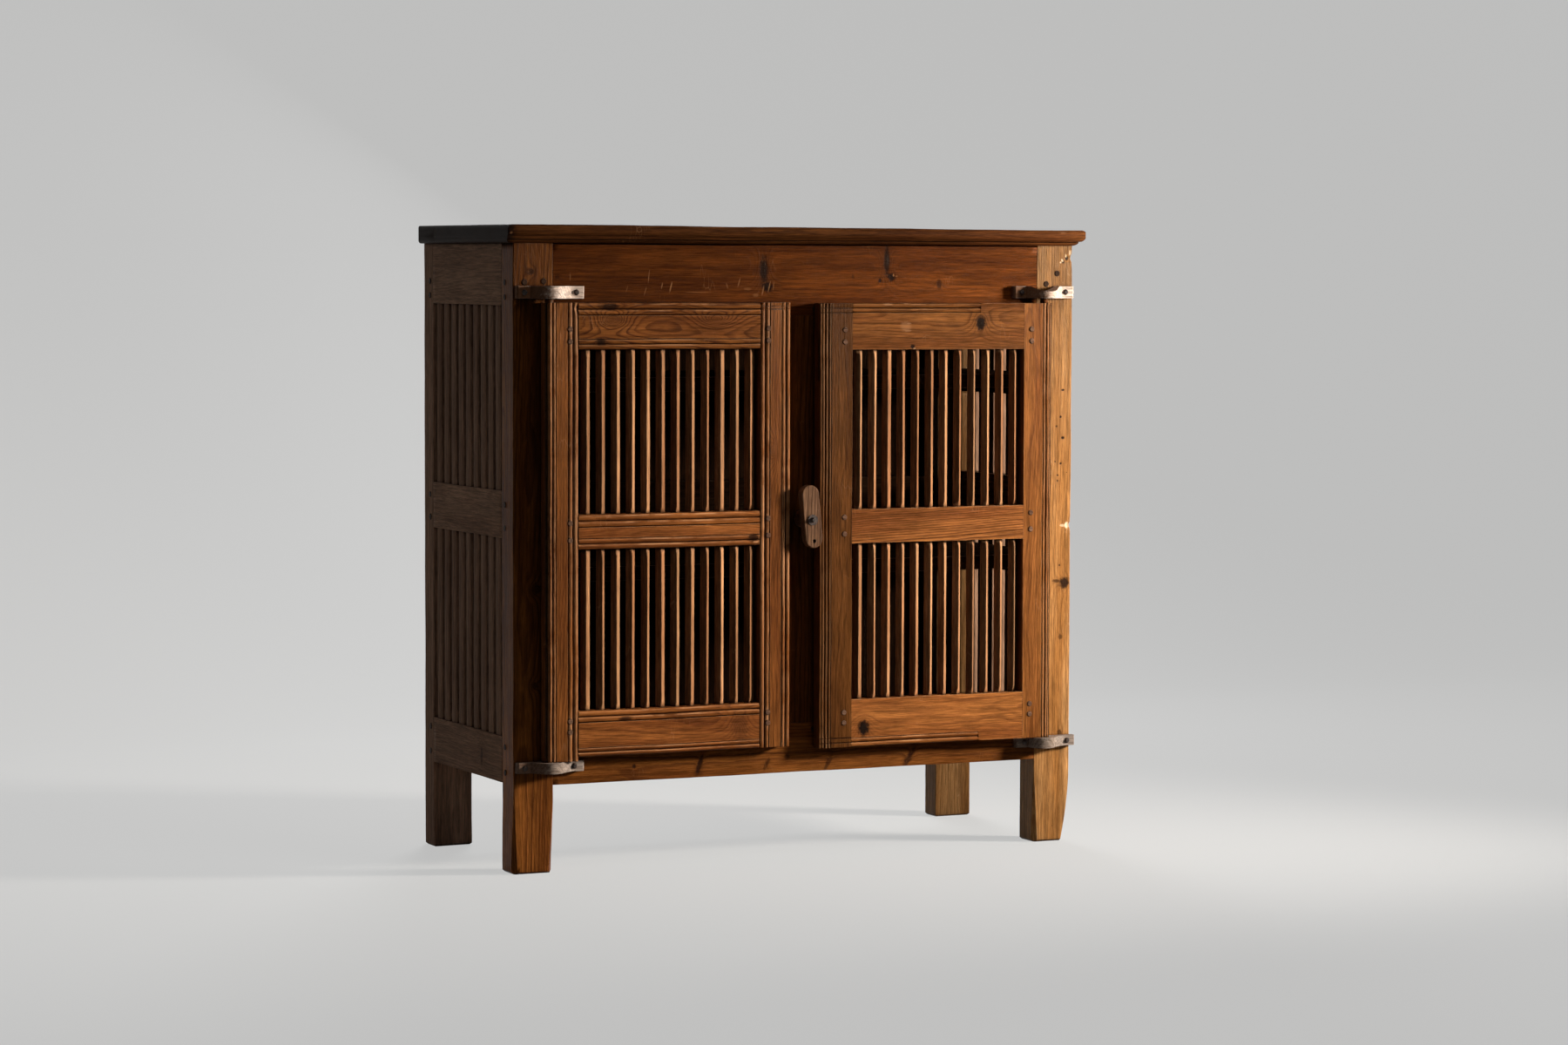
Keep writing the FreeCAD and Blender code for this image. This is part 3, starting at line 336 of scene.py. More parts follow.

# Colours of each finish, and how strongly its rings, rubbed edges with their painted highlights, nicks,
# wormholes, and dirt with painted shade in the corners show.
# A finish has the plain look's value where it gives none
plainLook = {
    "wander": 0.02, "roughness": 0.34, "nicks": 0.3, "worm": 0.3, "shadeAndDirt": 0.8, "gloss": 0.05,
}
looks = {
    "topRail": {
        "honey": (0.138, 0.0365, 0.0058), "red": (0.0723, 0.0172, 0.0029), "late": (0.0312, 0.0078, 0.00234),
        "pale": (0.281, 0.117, 0.039), "dark": (0.012, 0.005, 0.003), "ringStrength": 0.3, "rub": 0.35,
        "ringWidth": 0.0042, "wander": 0.014, "nicks": 0.5, "worm": 0.2, "gloss": 0.03,
    },
    "frame": {
        "honey": (0.2, 0.066, 0.013), "red": (0.11, 0.031, 0.006), "late": (0.05, 0.013, 0.004),
        "pale": (0.4, 0.18, 0.065), "dark": (0.012, 0.005, 0.003), "ringStrength": 0.75, "rub": 0.4,
        "ringWidth": 0.0045, "gloss": 0.03,
    },
    "leg": {
        "honey": (0.47, 0.235, 0.085), "red": (0.32, 0.135, 0.036), "late": (0.19, 0.068, 0.018),
        "pale": (0.8, 0.56, 0.34), "dark": (0.02, 0.009, 0.005), "ringStrength": 0.45, "rub": 0.95,
        "ringWidth": 0.0045, "worm": 0.9, "shadeAndDirt": 0.7,
    },
    "leftDoor": {
        "honey": (0.235, 0.078, 0.018), "red": (0.13, 0.038, 0.009), "late": (0.055, 0.015, 0.005),
        "pale": (0.46, 0.22, 0.1), "dark": (0.008, 0.004, 0.003), "ringStrength": 0.6, "rub": 0.8,
        "ringWidth": 0.0034, "wander": 0.03, "roughness": 0.32, "worm": 0.15, "shadeAndDirt": 1.0,
    },
    "rightDoor": {
        "honey": (0.265, 0.094, 0.023), "red": (0.16, 0.05, 0.012), "late": (0.075, 0.022, 0.007),
        "pale": (0.52, 0.26, 0.12), "dark": (0.01, 0.005, 0.003), "ringStrength": 0.55, "rub": 0.8,
        "ringWidth": 0.0036, "wander": 0.03, "worm": 0.15, "shadeAndDirt": 1.0, "gloss": 0.03,
    },
    "bar": {
        "honey": (0.245, 0.122, 0.056), "red": (0.165, 0.068, 0.028), "late": (0.1, 0.037, 0.016),
        "pale": (0.42, 0.26, 0.15), "dark": (0.01, 0.005, 0.003), "ringStrength": 0.3, "rub": 0.6,
        "ringWidth": 0.004, "roughness": 0.4, "nicks": 0.2, "worm": 0.0,
    },
    "bracket": {
        "honey": (0.83, 0.67, 0.57), "red": (0.66, 0.49, 0.38), "late": (0.16, 0.07, 0.028),
        "pale": (0.9, 0.82, 0.74), "dark": (0.13, 0.05, 0.018), "ringStrength": 0.35, "rub": 0.5,
        "ringWidth": 0.005, "roughness": 0.5, "nicks": 0.5, "shadeAndDirt": 0.7,
    },
    "side": {
        "honey": (0.5, 0.285, 0.176), "red": (0.37, 0.2, 0.12), "late": (0.18, 0.09, 0.056),
        "pale": (0.56, 0.37, 0.25), "dark": (0.012, 0.008, 0.006), "ringStrength": 0.35, "rub": 0.3,
        "ringWidth": 0.0045, "wander": 0.03, "roughness": 0.55, "nicks": 0.2, "shadeAndDirt": 0.95, "gloss": 0.02,
    },
    "top": {
        "honey": (0.1, 0.034, 0.009), "red": (0.056, 0.017, 0.005), "late": (0.022, 0.007, 0.003),
        "pale": (0.24, 0.11, 0.048), "dark": (0.008, 0.004, 0.003), "ringStrength": 0.7, "rub": 0.5,
        "ringWidth": 0.0034, "roughness": 0.45, "nicks": 0.5, "worm": 0.2, "gloss": 0.02,
    },
    "button": {
        "honey": (0.19, 0.098, 0.052), "red": (0.11, 0.05, 0.025), "late": (0.035, 0.015, 0.008),
        "pale": (0.6, 0.4, 0.27), "dark": (0.01, 0.006, 0.004), "ringStrength": 0.9, "rub": 0.9,
        "ringWidth": 0.0034, "roughness": 0.45, "nicks": 0.5, "worm": 0.2,
    },
    "peg": {
        "honey": (0.17, 0.092, 0.056), "red": (0.115, 0.057, 0.034), "late": (0.045, 0.02, 0.012),
        "pale": (0.26, 0.16, 0.1), "dark": (0.01, 0.006, 0.004), "ringStrength": 0.5, "rub": 0.6,
        "ringWidth": 0.003, "roughness": 0.5, "worm": 0.0, "shadeAndDirt": 1.0,
    },
    # Painted shade: the inside finish is near black, standing for the shade inside the closed case
    "inside": {
        "honey": (0.0315, 0.0147, 0.007), "red": (0.0196, 0.0084, 0.0042), "late": (0.0112, 0.0049, 0.0028),
        "pale": (0.17, 0.13, 0.095), "dark": (0.01, 0.006, 0.004), "ringStrength": 0.4, "rub": 0.8,
        "ringWidth": 0.005, "wander": 0.03, "roughness": 0.8, "nicks": 0.1, "gloss": 0.02,
    },
}

# How much lighter or darker than its finish a piece is. Some are painted shade and light: the centre stile
# and the left post are darker for the doors' shadow, the right door's meeting stile is darker and the lower
# door rails are lighter for the lamp's falloff; others, such as the darker pegs, are the pieces' own colour
tonesAndPaintedLight = {
    "right_door_meeting_stile": 0.4, "right_door_hinge_stile": 0.97, "right_door_top_rail": 0.77,
    "centre_stile": 0.5, "right_door_middle_rail": 1.12, "right_door_bottom_rail": 1.4,
    "left_door_meeting_stile": 0.93, "left_door_middle_rail": 1.35, "left_door_bottom_rail": 1.45,
    "front_left_post": 0.75, "left_upper_slats": 0.82, "left_lower_slats": 0.82, "frame_pegs": 0.35,
    "bottom_left_pivot_bracket": 0.42, "bottom_right_pivot_bracket": 0.36, "back_right_post": 0.7,
    "right_side_top_rail": 0.5, "right_side_middle_rail": 0.5, "right_side_bottom_rail": 0.5,
}

rightSlats = ("right_upper_slats", "right_lower_slats")

# Sides of a piece painted lighter or darker for how light falls on them: painted light on the bars' sides
# towards the lamp and on the left post's left face; painted shade on the bars' other sides, the right post's
# right face, the right slats and the front of the back right post; the back boards' outer face is lifted out
# of the inside's painted shade.
# The axis that they face along, then where the change starts and ends on it, and the tone at either end
paintedSides = {
    "bars": ("X", -0.5, 0.6, 0.55, 1.5), "rightSlats": ("Y", -0.9, -0.5, 0.6, 0.4),
    "front_right_post": ("X", 0.8, 0.98, 1.0, 0.5), "front_left_post": ("X", -0.98, -0.8, 2.6, 1.0),
    "back_boards": ("Y", 0.5, 0.9, 1.0, 7.5), "back_right_post": ("Y", -0.9, -0.5, 0.4, 1.0),
}

# Painted light and shade along a piece, for how the lamps' light falls off across it: where the change starts
# and ends, and the tone at either end
paintedFalloff = {
    "front_left_post": ("Z", 0.05, 0.45, 1.55, 1.0), "front_right_post": ("Z", 0.6, 1.12, 1.0, 0.66),
    "front_top_rail": ("X", -0.45, 0.45, 0.76, 1.16), "top_front_plank": ("X", 0.1, 0.62, 0.9, 2.3),
    "back_right_post": ("Z", 0.2, 0.26, 1.35, 1.0),
}


# Pine with its own rings, knots and age, chips where bare wood shows, and the painted light and shade listed
# for its piece
def makePine(name, look, grain, centre, seed, knots=(), chips=(), pith=(0.07, 0.02), own=None, beaded=False):
    values = {**plainLook, **looks[look], **(own or {})}
    for key in ("honey", "red", "late", "pale"):
        values[key] = tuple(value * tonesAndPaintedLight.get(name, 1.0) for value in values[key])
    material = bpy.data.materials.new(name + "Pine")
    material.use_nodes = True
    tree = material.node_tree
    shader = tree.nodes["Principled BSDF"]
    shader.inputs["Specular IOR Level"].default_value = values["gloss"]
    shader.inputs["Specular Tint"].default_value = (1.0, 0.74, 0.5, 1.0)
    turn = grainTurns[grain]
    moved = turn @ Vector(centre)
    coordinates = addNode(tree, "ShaderNodeTexCoord").outputs
    place = coordinates["Object"]
    vector = addNode(
        tree, "ShaderNodeMapping",
        {"Vector": place, "Location": -moved, "Rotation": turn.to_euler()}, vector_type="POINT",
    ).outputs[0]

    def addSpot(spot, length, width, push, darkness, before, lean=0.0, grit=170.0):
        local = turn @ Vector(spot) - moved
        made = addNode(tree, "ShaderNodeGroup", {
            "Vector": vector, "Along": local.x, "Across": local.z, "Length": length, "Width": width,
            "Push": push, "Darkness": darkness, "Bend": before[0], "Core": before[1], "Stain": before[2],
            "Lean": lean, "Grit": grit,
        }, node_tree=knot).outputs
        return made["Bend"], made["Core"], made["Stain"]

    grownIn = (0.0, 0.0, 0.0)
    for spot, length, width, push, darkness, *lean in knots:
        grownIn = addSpot(spot, length, width, push, darkness, grownIn, lean[0] if lean else 0.0)
    bend, core, stain = grownIn
    knocked = (0.0, 0.0, 0.0)
    for spot, length, width, strength, *lean in chips:
        knocked = addSpot(spot, length, width, 0.0, strength, knocked, lean[0] if lean else 0.0, 520.0)
    grown = addNode(tree, "ShaderNodeGroup", {
        "Vector": vector, "Pith Depth": pith[0], "Pith Across": pith[1], "Bend": bend, "Seed": seed,
        "Ring Width": values["ringWidth"], "Wander": values["wander"], "Drift": values.get("drift", 0.03),
    }, node_tree=rings).outputs
    wornAndShaded = addNode(tree, "ShaderNodeGroup", {
        "Vector": place, "Grain": [abs(v) for v in turn[0]], "Nicks": values["nicks"], "Worm": values["worm"],
        "Seed": seed,
    }, node_tree=wearAndShade).outputs

    def blend(factor, first, second, mode="MIX"):
        node = addNode(tree, "ShaderNodeMix", data_type="RGBA", blend_type=mode)
        feed(tree, node.inputs[0], factor)
        feed(tree, node.inputs[6], first if isinstance(first, bpy.types.NodeSocket) else (*first, 1))
        feed(tree, node.inputs[7], second if isinstance(second, bpy.types.NodeSocket) else (*second, 1))
        return node.outputs[2]

    color = blend(ramp(tree, grown["Tone"], 0.36, 0.64), values["red"], values["honey"])
    color = blend(times(tree, grown["Rings"], values["ringStrength"]), color, values["late"])
    light = calc(tree, "MULTIPLY_ADD", grown["Fibre"], 0.7, 0.65)
    streak = calc(tree, "MULTIPLY_ADD", grown["Streak"], 0.5, 0.75)
    cloud = calc(tree, "MULTIPLY_ADD", grown["Blotch"], 0.7, 0.65)
    shade = times(tree, times(tree, light, streak), cloud)
    isBars = name.endswith("_bars")
    kind = "bars" if isBars else "rightSlats" if name in rightSlats else name
    # Painted light and shade: the piece's listed sides and stretches are made lighter or darker here
    for changes, source in ((paintedSides.get(kind), coordinates["Normal"]), (paintedFalloff.get(name), place)):
        if changes:
            axis, *change = changes
            shade = times(tree, shade, ramp(tree, apart(tree, source)[axis], *change))
    if isBars:
        shade = times(tree, shade, calc(tree, "MULTIPLY_ADD", marked(tree, "single"), 0.5, 0.78))
    grey = addNode(tree, "ShaderNodeCombineColor", {0: shade, 1: shade, 2: shade}).outputs[0]
    color = blend(1.0, color, grey, "MULTIPLY")
    # Beads: crests paler as polish and painted highlight, on level pieces only where they face up, as if lit
    # from above; grooves darker as painted shade and grime
    if beaded:
        handled = ramp(tree, wornAndShaded["Sheen"], 0.3, 0.6)
        polishedAndLit = times(tree, ramp(tree, marked(tree, "crest"), 0.3, 1.0), handled)
        if grain == "level":
            upward = apart(tree, addNode(tree, "ShaderNodeNewGeometry").outputs["Normal"])[2]
            polishedAndLit = times(tree, polishedAndLit, ramp(tree, upward, 0.05, 0.5))
        color = blend(times(tree, polishedAndLit, 0.85), color, values["pale"])
        grimeAndShade = ramp(tree, marked(tree, "hollow"), 0.25, 0.95)
        color = blend(times(tree, grimeAndShade, 0.9), color, values["dark"])
    # Knot stains and cores; the knots without push stain in painted shade
    if knots:
        color = blend(times(tree, stain, 0.8, clamp=True), color, values["late"])
        color = blend(core, color, values["dark"])
    # Worn edges in pale bare wood, which also stand as painted highlights on the arrises
    color = blend(times(tree, wornAndShaded["Rubbed And Lit"], values["rub"]), color, values["pale"])
    color = blend(wornAndShaded["Nick"], color, values["pale"])
    if chips:
        color = blend(knocked[1], color, values["pale"])
    color = blend(wornAndShaded["Hole"], color, values["dark"])
    # Painted shade in corners and grooves, with dark joints, in the finish's dark colour
    color = blend(times(tree, wornAndShaded["Shade And Dirt"], values["shadeAndDirt"]), color, values["dark"])
    tree.links.new(color, shader.inputs["Base Color"])
    roughness = calc(tree, "MULTIPLY_ADD", wornAndShaded["Sheen"], 0.12, values["roughness"] - 0.06)
    tree.links.new(roughness, shader.inputs["Roughness"])
    relief = calc(tree, "MULTIPLY_ADD", grown["Rings"], 0.7, grown["Fibre"])
    relief = calc(tree, "MULTIPLY_ADD", wornAndShaded["Sheen"], 2.0, relief)
    relief = calc(tree, "SUBTRACT", relief, times(tree, wornAndShaded["Nick"], 2.0))
    if knots:
        relief = calc(tree, "MULTIPLY_ADD", core, -1.0, relief)
    if chips:
        relief = calc(tree, "MULTIPLY_ADD", knocked[1], -2.5, relief)
    bump = addNode(tree, "ShaderNodeBump", {"Height": relief, "Strength": 0.4, "Distance": 0.0006})
    tree.links.new(bump.outputs[0], shader.inputs["Normal"])
    return material


def makeIron():
    material = bpy.data.materials.new("forgedIron")
    material.use_nodes = True
    tree = material.node_tree
    shader = tree.nodes["Principled BSDF"]
    place = addNode(tree, "ShaderNodeTexCoord").outputs["Object"]
    rust = ramp(tree, stretchedNoise(tree, place, (260, 260, 260), 1.0, 4.0, 0.65), 0.42, 0.66)
    color = addNode(tree, "ShaderNodeMix", {0: rust}, data_type="RGBA")
    color.inputs[6].default_value = (0.024, 0.020, 0.018, 1)
    color.inputs[7].default_value = (0.10, 0.05, 0.03, 1)
    tree.links.new(color.outputs[2], shader.inputs["Base Color"])
    tree.links.new(calc(tree, "MULTIPLY_ADD", rust, 0.25, 0.55), shader.inputs["Roughness"])
    tree.links.new(calc(tree, "MULTIPLY_ADD", rust, -0.35, 0.45), shader.inputs["Metallic"])
    pits = stretchedNoise(tree, place, (500, 500, 500), 2.0, 3.0)
    bump = addNode(tree, "ShaderNodeBump", {"Height": pits, "Strength": 0.6, "Distance": 0.0006})
    tree.links.new(bump.outputs[0], shader.inputs["Normal"])
    return material


# Each wooden piece: its finish, the run of its grain, and its pith in depth and across.
# Settings at the end are that piece's own
woods = {
    "top_front_plank": ("top", "level", (0.03, -0.05)),
    "top_back_plank": ("top", "level", (0.06, -0.09)),
    "front_top_rail": ("topRail", "level", (0.06, 0.03)),
    "front_bottom_rail": ("frame", "level", (0.05, -0.04)),
    "front_left_post": ("frame", "upright", (0.022, 0.012), {"ringWidth": 0.0036, "ringStrength": 0.75}),
    "front_right_post": ("leg", "upright", (0.05, -0.07)),
    "centre_stile": ("frame", "upright", (0.05, 0.02)),
    "back_left_post": ("side", "upright", (0.05, 0.05)),
    "back_right_post": ("leg", "upright", (0.05, -0.05)),
    "back_boards": ("inside", "upright", (0.07, 0.04)),
    "back_top_rail": ("inside", "level", (0.06, 0.02)),
    "back_middle_rail": ("inside", "level", (0.06, -0.02)),
    "back_bottom_rail": ("inside", "level", (0.06, 0.01)),
    "turn_button": ("button", "upright", (0.04, 0.03)),
    "button_collar": ("button", "level", (0.04, 0.03)),
}
for side in ("left", "right"):
    for level in ("top", "middle", "bottom"):
        woods[f"{side}_side_{level}_rail"] = ("side", "sideLevel", (0.06, 0.03))
        woods[f"{side}_door_{level}_rail"] = (side + "Door", "level", (0.05, 0.02))
    for level in ("top", "bottom"):
        woods[f"{level}_{side}_pivot_bracket"] = ("bracket", "level", (0.05, 0.03))
    woods[f"{side}_door_hinge_stile"] = (side + "Door", "upright", (0.05, 0.04))
    woods[f"{side}_door_meeting_stile"] = (side + "Door", "upright", (0.05, -0.04))
woods["right_door_middle_rail"] = (
    "rightDoor", "level", (0.007, -0.041),
    {"ringWidth": 0.0038, "ringStrength": 1.0, "drift": -0.06, "wander": 0.014},
)
woods["right_door_top_rail"] = (
    "rightDoor", "level", (0.035, 0.02), {"ringWidth": 0.0034, "ringStrength": 0.65},
)
woods["left_door_top_rail"] = ("leftDoor", "level", (0.022, 0.0), {"ringWidth": 0.0034, "ringStrength": 1.0})
woods["left_door_middle_rail"] = ("leftDoor", "level", (0.04, -0.05), {"ringWidth": 0.0032})
for level in ("upper_shelf", "lower_shelf", "bottom"):
    for part in ("front_board", "back_board", "bearers"):
        woods[f"{level}_{part}"] = ("inside", "level", (0.05, -0.06))
# Painted highlight: the shelves' front boards get a paler, fuller rubbed edge that stands for light on their
# front arrises
for level in ("upper", "lower"):
    woods[f"{level}_shelf_front_board"] += ({"pale": (0.5, 0.42, 0.35), "rub": 1.0},)

# Knots of a piece: ((x, y, z), length, width, push, darkness, lean), the lean where it slants. The dark
# patches without push on the top planks' left end and on the pivot brackets are painted shade
knots = {
    "front_top_rail": [
        ((-0.0785, -0.2, 1.121), 0.010, 0.030, 1.2, 0.95), ((-0.071, -0.2, 1.090), 0.013, 0.011, 0.6, 1.0),
        ((0.1813, -0.2, 1.140), 0.007, 0.034, 1.2, 0.9), ((0.191, -0.2, 1.108), 0.010, 0.009, 0.6, 1.0),
        ((0.1666, -0.2, 1.102), 0.004, 0.004, 0.5, 0.9), ((0.2944, -0.2, 1.095), 0.006, 0.012, 1.0, 0.6),
        ((-0.50, -0.2, 1.108), 0.006, 0.006, 0.8, 0.5), ((0.109, -0.2, 1.109), 0.003, 0.006, 0.5, 0.4),
        ((-0.3895, -0.2, 1.053), 0.02, 0.012, 1.0, 0.6), ((-0.42, -0.2, 1.08), 0.14, 0.05, 0.0, 0.22),
    ],
    "front_left_post": [
        ((-0.552, -0.2, 1.118), 0.007, 0.007, 1.4, 0.7), ((-0.544, -0.2, 0.53), 0.012, 0.01, 1.6, 0.5),
        ((-0.545, -0.2, 0.35), 0.008, 0.008, 1.4, 0.5),
    ],
    "front_right_post": [
        ((0.5743, -0.2, 0.5095), 0.012, 0.014, 1.5, 0.95), ((0.558, -0.2, 0.513), 0.004, 0.012, 0.6, 0.7),
        ((0.5685, -0.2, 0.888), 0.0024, 0.004, 0.2, 1.0), ((0.564, -0.2, 0.8355), 0.0026, 0.0028, 0.2, 1.0),
        ((0.555, -0.2, 0.817), 0.0022, 0.0022, 0.2, 0.9), ((0.569, -0.2, 0.7945), 0.003, 0.004, 0.2, 1.0),
        ((0.552, -0.2, 0.748), 0.0022, 0.0022, 0.2, 0.9), ((0.5647, -0.2, 0.7444), 0.0026, 0.0028, 0.2, 1.0),
        ((0.558, -0.2, 0.721), 0.0022, 0.0022, 0.2, 0.9), ((0.5574, -0.2, 0.710), 0.0022, 0.0022, 0.2, 0.8),
        ((0.5634, -0.2, 0.544), 0.0022, 0.0022, 0.2, 0.9), ((0.5665, -0.2, 0.4033), 0.0055, 0.0055, 1.2, 0.6),
        ((0.566, -0.2, 0.214), 0.008, 0.007, 1.0, 0.7), ((0.5491, -0.2, 1.118), 0.004, 0.003, 0.8, 0.5),
        ((0.576, -0.2, 1.1455), 0.0055, 0.0045, 0.2, 1.0), ((0.567, -0.2, 1.1385), 0.004, 0.003, 0.2, 0.9),
    ],
    # Painted shade: the top planks' left end is darkened for the shade on it
    "top_front_plank": [
        ((-0.612, -0.2, 1.185), 0.022, 0.12, 0.0, 0.85), ((-0.60, -0.2, 1.185), 0.005, 0.09, 0.0, 0.6),
    ],
    "top_back_plank": [((-0.612, 0.2, 1.185), 0.022, 0.12, 0.0, 0.85)],
    "front_bottom_rail": [
        ((0.06, -0.2, 0.178), 0.006, 0.018, 0.2, 0.5, 0.5),
        ((0.235, -0.2, 0.182), 0.008, 0.022, 0.3, 0.7, 0.6),
        ((-0.21, -0.2, 0.188), 0.006, 0.020, 0.2, 0.85, 0.3), ((-0.345, -0.2, 0.191), 0.004, 0.005, 0.5, 0.9),
        ((-0.07, -0.2, 0.182), 0.005, 0.014, 0.1, 0.5, 0.5), ((-0.027, -0.2, 0.194), 0.006, 0.006, 0.4, 0.6),
    ],
    "left_door_top_rail": [
        ((-0.402, -0.23, 1.029), 0.030, 0.017, 2.6, 0.12), ((-0.4075, -0.23, 1.053), 0.022, 0.008, 0.8, 0.8),
        ((-0.425, -0.23, 0.988), 0.012, 0.008, 0.8, 0.85), ((-0.19, -0.23, 1.03), 0.05, 0.02, 2.0, 0.05),
    ],
    "left_door_bottom_rail": [
        ((-0.375, -0.23, 0.285), 0.016, 0.005, 0.8, 0.7), ((-0.14, -0.23, 0.26), 0.02, 0.03, 0.8, 0.35),
    ],
    "left_door_middle_rail": [((-0.112, -0.23, 0.617), 0.014, 0.009, 0.8, 0.8)],
    "left_door_meeting_stile": [((-0.072, -0.23, 0.78), 0.03, 0.012, 2.2, 0.05)],
    "right_door_top_rail": [
        ((0.3701, -0.23, 1.0201), 0.0125, 0.0165, 1.6, 1.0),
        ((0.2231, -0.23, 0.9756), 0.006, 0.005, 0.9, 0.95),
    ],
    "right_door_bottom_rail": [((0.1202, -0.23, 0.2456), 0.014, 0.017, 1.8, 1.0)],
    "left_side_bottom_rail": [((-0.588, -0.043, 0.205), 0.006, 0.02, 1.2, 0.5)],
    # Painted shade: the pivot brackets are darkened on the part turned away from the lamp
    "top_left_pivot_bracket": [((-0.568, -0.24, 1.08), 0.048, 0.06, 0.0, 0.92)],
    "top_right_pivot_bracket": [((0.474, -0.24, 1.08), 0.042, 0.06, 0.0, 0.88)],
    "bottom_left_pivot_bracket": [((-0.565, -0.24, 0.2), 0.035, 0.03, 0.0, 0.6)],
}

# Chips and scratches of a piece: ((x, y, z), length, width, strength, lean), the lean where it slants
chips = {
    "front_top_rail": [
        ((-0.3155, -0.2, 1.109), 0.0011, 0.014, 0.55, 0.12),
        ((-0.3225, -0.2, 1.082), 0.0011, 0.009, 0.5, 0.3),
        ((-0.2705, -0.2, 1.089), 0.0018, 0.011, 0.8, 0.25), ((-0.2885, -0.2, 1.092), 0.0014, 0.007, 0.6, 0.2),
        ((-0.213, -0.2, 1.0795), 0.030, 0.0009, 0.5), ((-0.130, -0.2, 1.098), 0.0016, 0.010, 0.5, 0.3),
        ((-0.155, -0.2, 1.092), 0.0014, 0.006, 0.4, -0.3), ((-0.112, -0.2, 1.086), 0.009, 0.003, 0.3),
        ((-0.095, -0.2, 1.074), 0.007, 0.004, 0.35), ((-0.080, -0.2, 1.083), 0.0018, 0.010, 0.5, 0.2),
        ((-0.067, -0.2, 1.090), 0.0016, 0.012, 0.6, 0.25), ((-0.058, -0.2, 1.092), 0.0014, 0.009, 0.5, 0.1),
        ((-0.474, -0.2, 1.108), 0.0016, 0.008, 0.35), ((-0.36, -0.2, 1.086), 0.0012, 0.007, 0.3, 0.3),
        ((0.196, -0.2, 1.112), 0.002, 0.003, 0.8), ((0.203, -0.2, 1.1105), 0.003, 0.0015, 0.6),
    ],
    "front_right_post": [
        ((0.583, -0.2, 1.1565), 0.006, 0.003, 0.8), ((0.574, -0.2, 1.1505), 0.0035, 0.0022, 0.8, 0.5),
        ((0.5655, -0.2, 1.1415), 0.003, 0.003, 0.9, 0.5), ((0.562, -0.2, 1.1375), 0.0022, 0.0022, 1.0),
        ((0.5795, -0.2, 0.623), 0.007, 0.006, 1.0), ((0.570, -0.2, 0.6225), 0.003, 0.006, 0.7),
    ],
    "right_door_top_rail": [
        ((0.208, -0.23, 1.014), 0.013, 0.011, 0.3), ((0.214, -0.23, 1.020), 0.006, 0.0016, 0.5),
        ((0.212, -0.23, 1.006), 0.009, 0.0016, 0.45), ((0.227, -0.23, 0.972), 0.003, 0.003, 0.7),
        ((0.17, -0.23, 1.0565), 0.012, 0.0022, 0.7), ((0.21, -0.23, 1.0575), 0.008, 0.0016, 0.6),
    ],
    "right_door_bottom_rail": [((0.270, -0.23, 0.305), 0.004, 0.003, 0.7)],
    "left_door_middle_rail": [((-0.107, -0.23, 0.609), 0.007, 0.002, 0.6)],
    "top_front_plank": [
        ((-0.6, 0.043, 1.189), 0.003, 0.0025, 0.8), ((0.555, -0.2, 1.195), 0.008, 0.0016, 0.7),
    ],
}

# Worn places: (x, y, z), reach in each direction, and how far the surface is pushed in
dents = {
    "front_right_post": [((0.584, -0.2045, 1.146), (0.014, 0.008, 0.010), (-0.003, 0.003, 0.0)),
                         ((0.585, -0.2045, 0.6226), (0.009, 0.007, 0.008), (-0.003, 0.002, 0.0))],
    "left_door_hinge_stile": [((-0.472, -0.234, 1.049), (0.006, 0.006, 0.008), (0.0, 0.003, 0.0))],
}


# Edges sway as hand-planed ones do. Pieces that reach the top tuck in under it, so that no light shows
wear = {
    "step": 0.016, "insideStep": 0.032, "sway": 0.0009, "swayDepth": 0.55, "slow": 8.0, "quick": 34.0,
    "quickShare": 0.3, "sharpAngle": 26.0, "underTop": 1.17, "tuck": 0.0016,
}
beads = {
    "depth": 0.0032, "spare": 0.0007, "facet": 0.0035, "fall": 0.00003, "beside": 0.00024,
    "crestTo": 0.0014, "hollowTo": 0.00512, "deepest": 0.00416,
}
pivots = {
    "left": (-0.523, -0.221), "right": (0.516, -0.221), "low": 0.221, "high": 1.057,
    "still": 0.034, "fade": 0.010,
}
# The top has warped: its upper side rises towards the left
warp = {"rise": 0.0045, "from": 0.45, "to": -0.5, "above": 1.178}

# Without a seed of its own, this noise differs from run to run
noise.seed_set(5)


def sway(point, amount):
    slow = noise.noise_vector(point * wear["slow"])
    quick = noise.noise_vector(point * wear["quick"] + Vector((7.1, 3.3, 5.7)))
    moved = (slow + quick * wear["quickShare"]) * amount
    return Vector((moved.x, moved.y * wear["swayDepth"], moved.z))


# How much a place sways. Pins, their holes and the stiles' seats keep their exact shape, so that the
# doors turn freely
def unsteady(name, point):
    isBracket = name.endswith("pivot_bracket")
    if not isBracket and not name.endswith("door_hinge_stile"):
        return 1.0
    if not isBracket and pivots["low"] < point.z < pivots["high"]:
        return 1.0
    x, y = pivots["left" if "left" in name else "right"]
    away = math.hypot(point.x - x, point.y - y)
    return min(1.0, max(0.0, (away - pivots["still"]) / pivots["fade"]))


def cutAcross(mesh, place, normal):
    everything = mesh.verts[:] + mesh.edges[:] + mesh.faces[:]
    bmesh.ops.bisect_plane(mesh, geom=everything, dist=1e-6, plane_co=place, plane_no=normal)


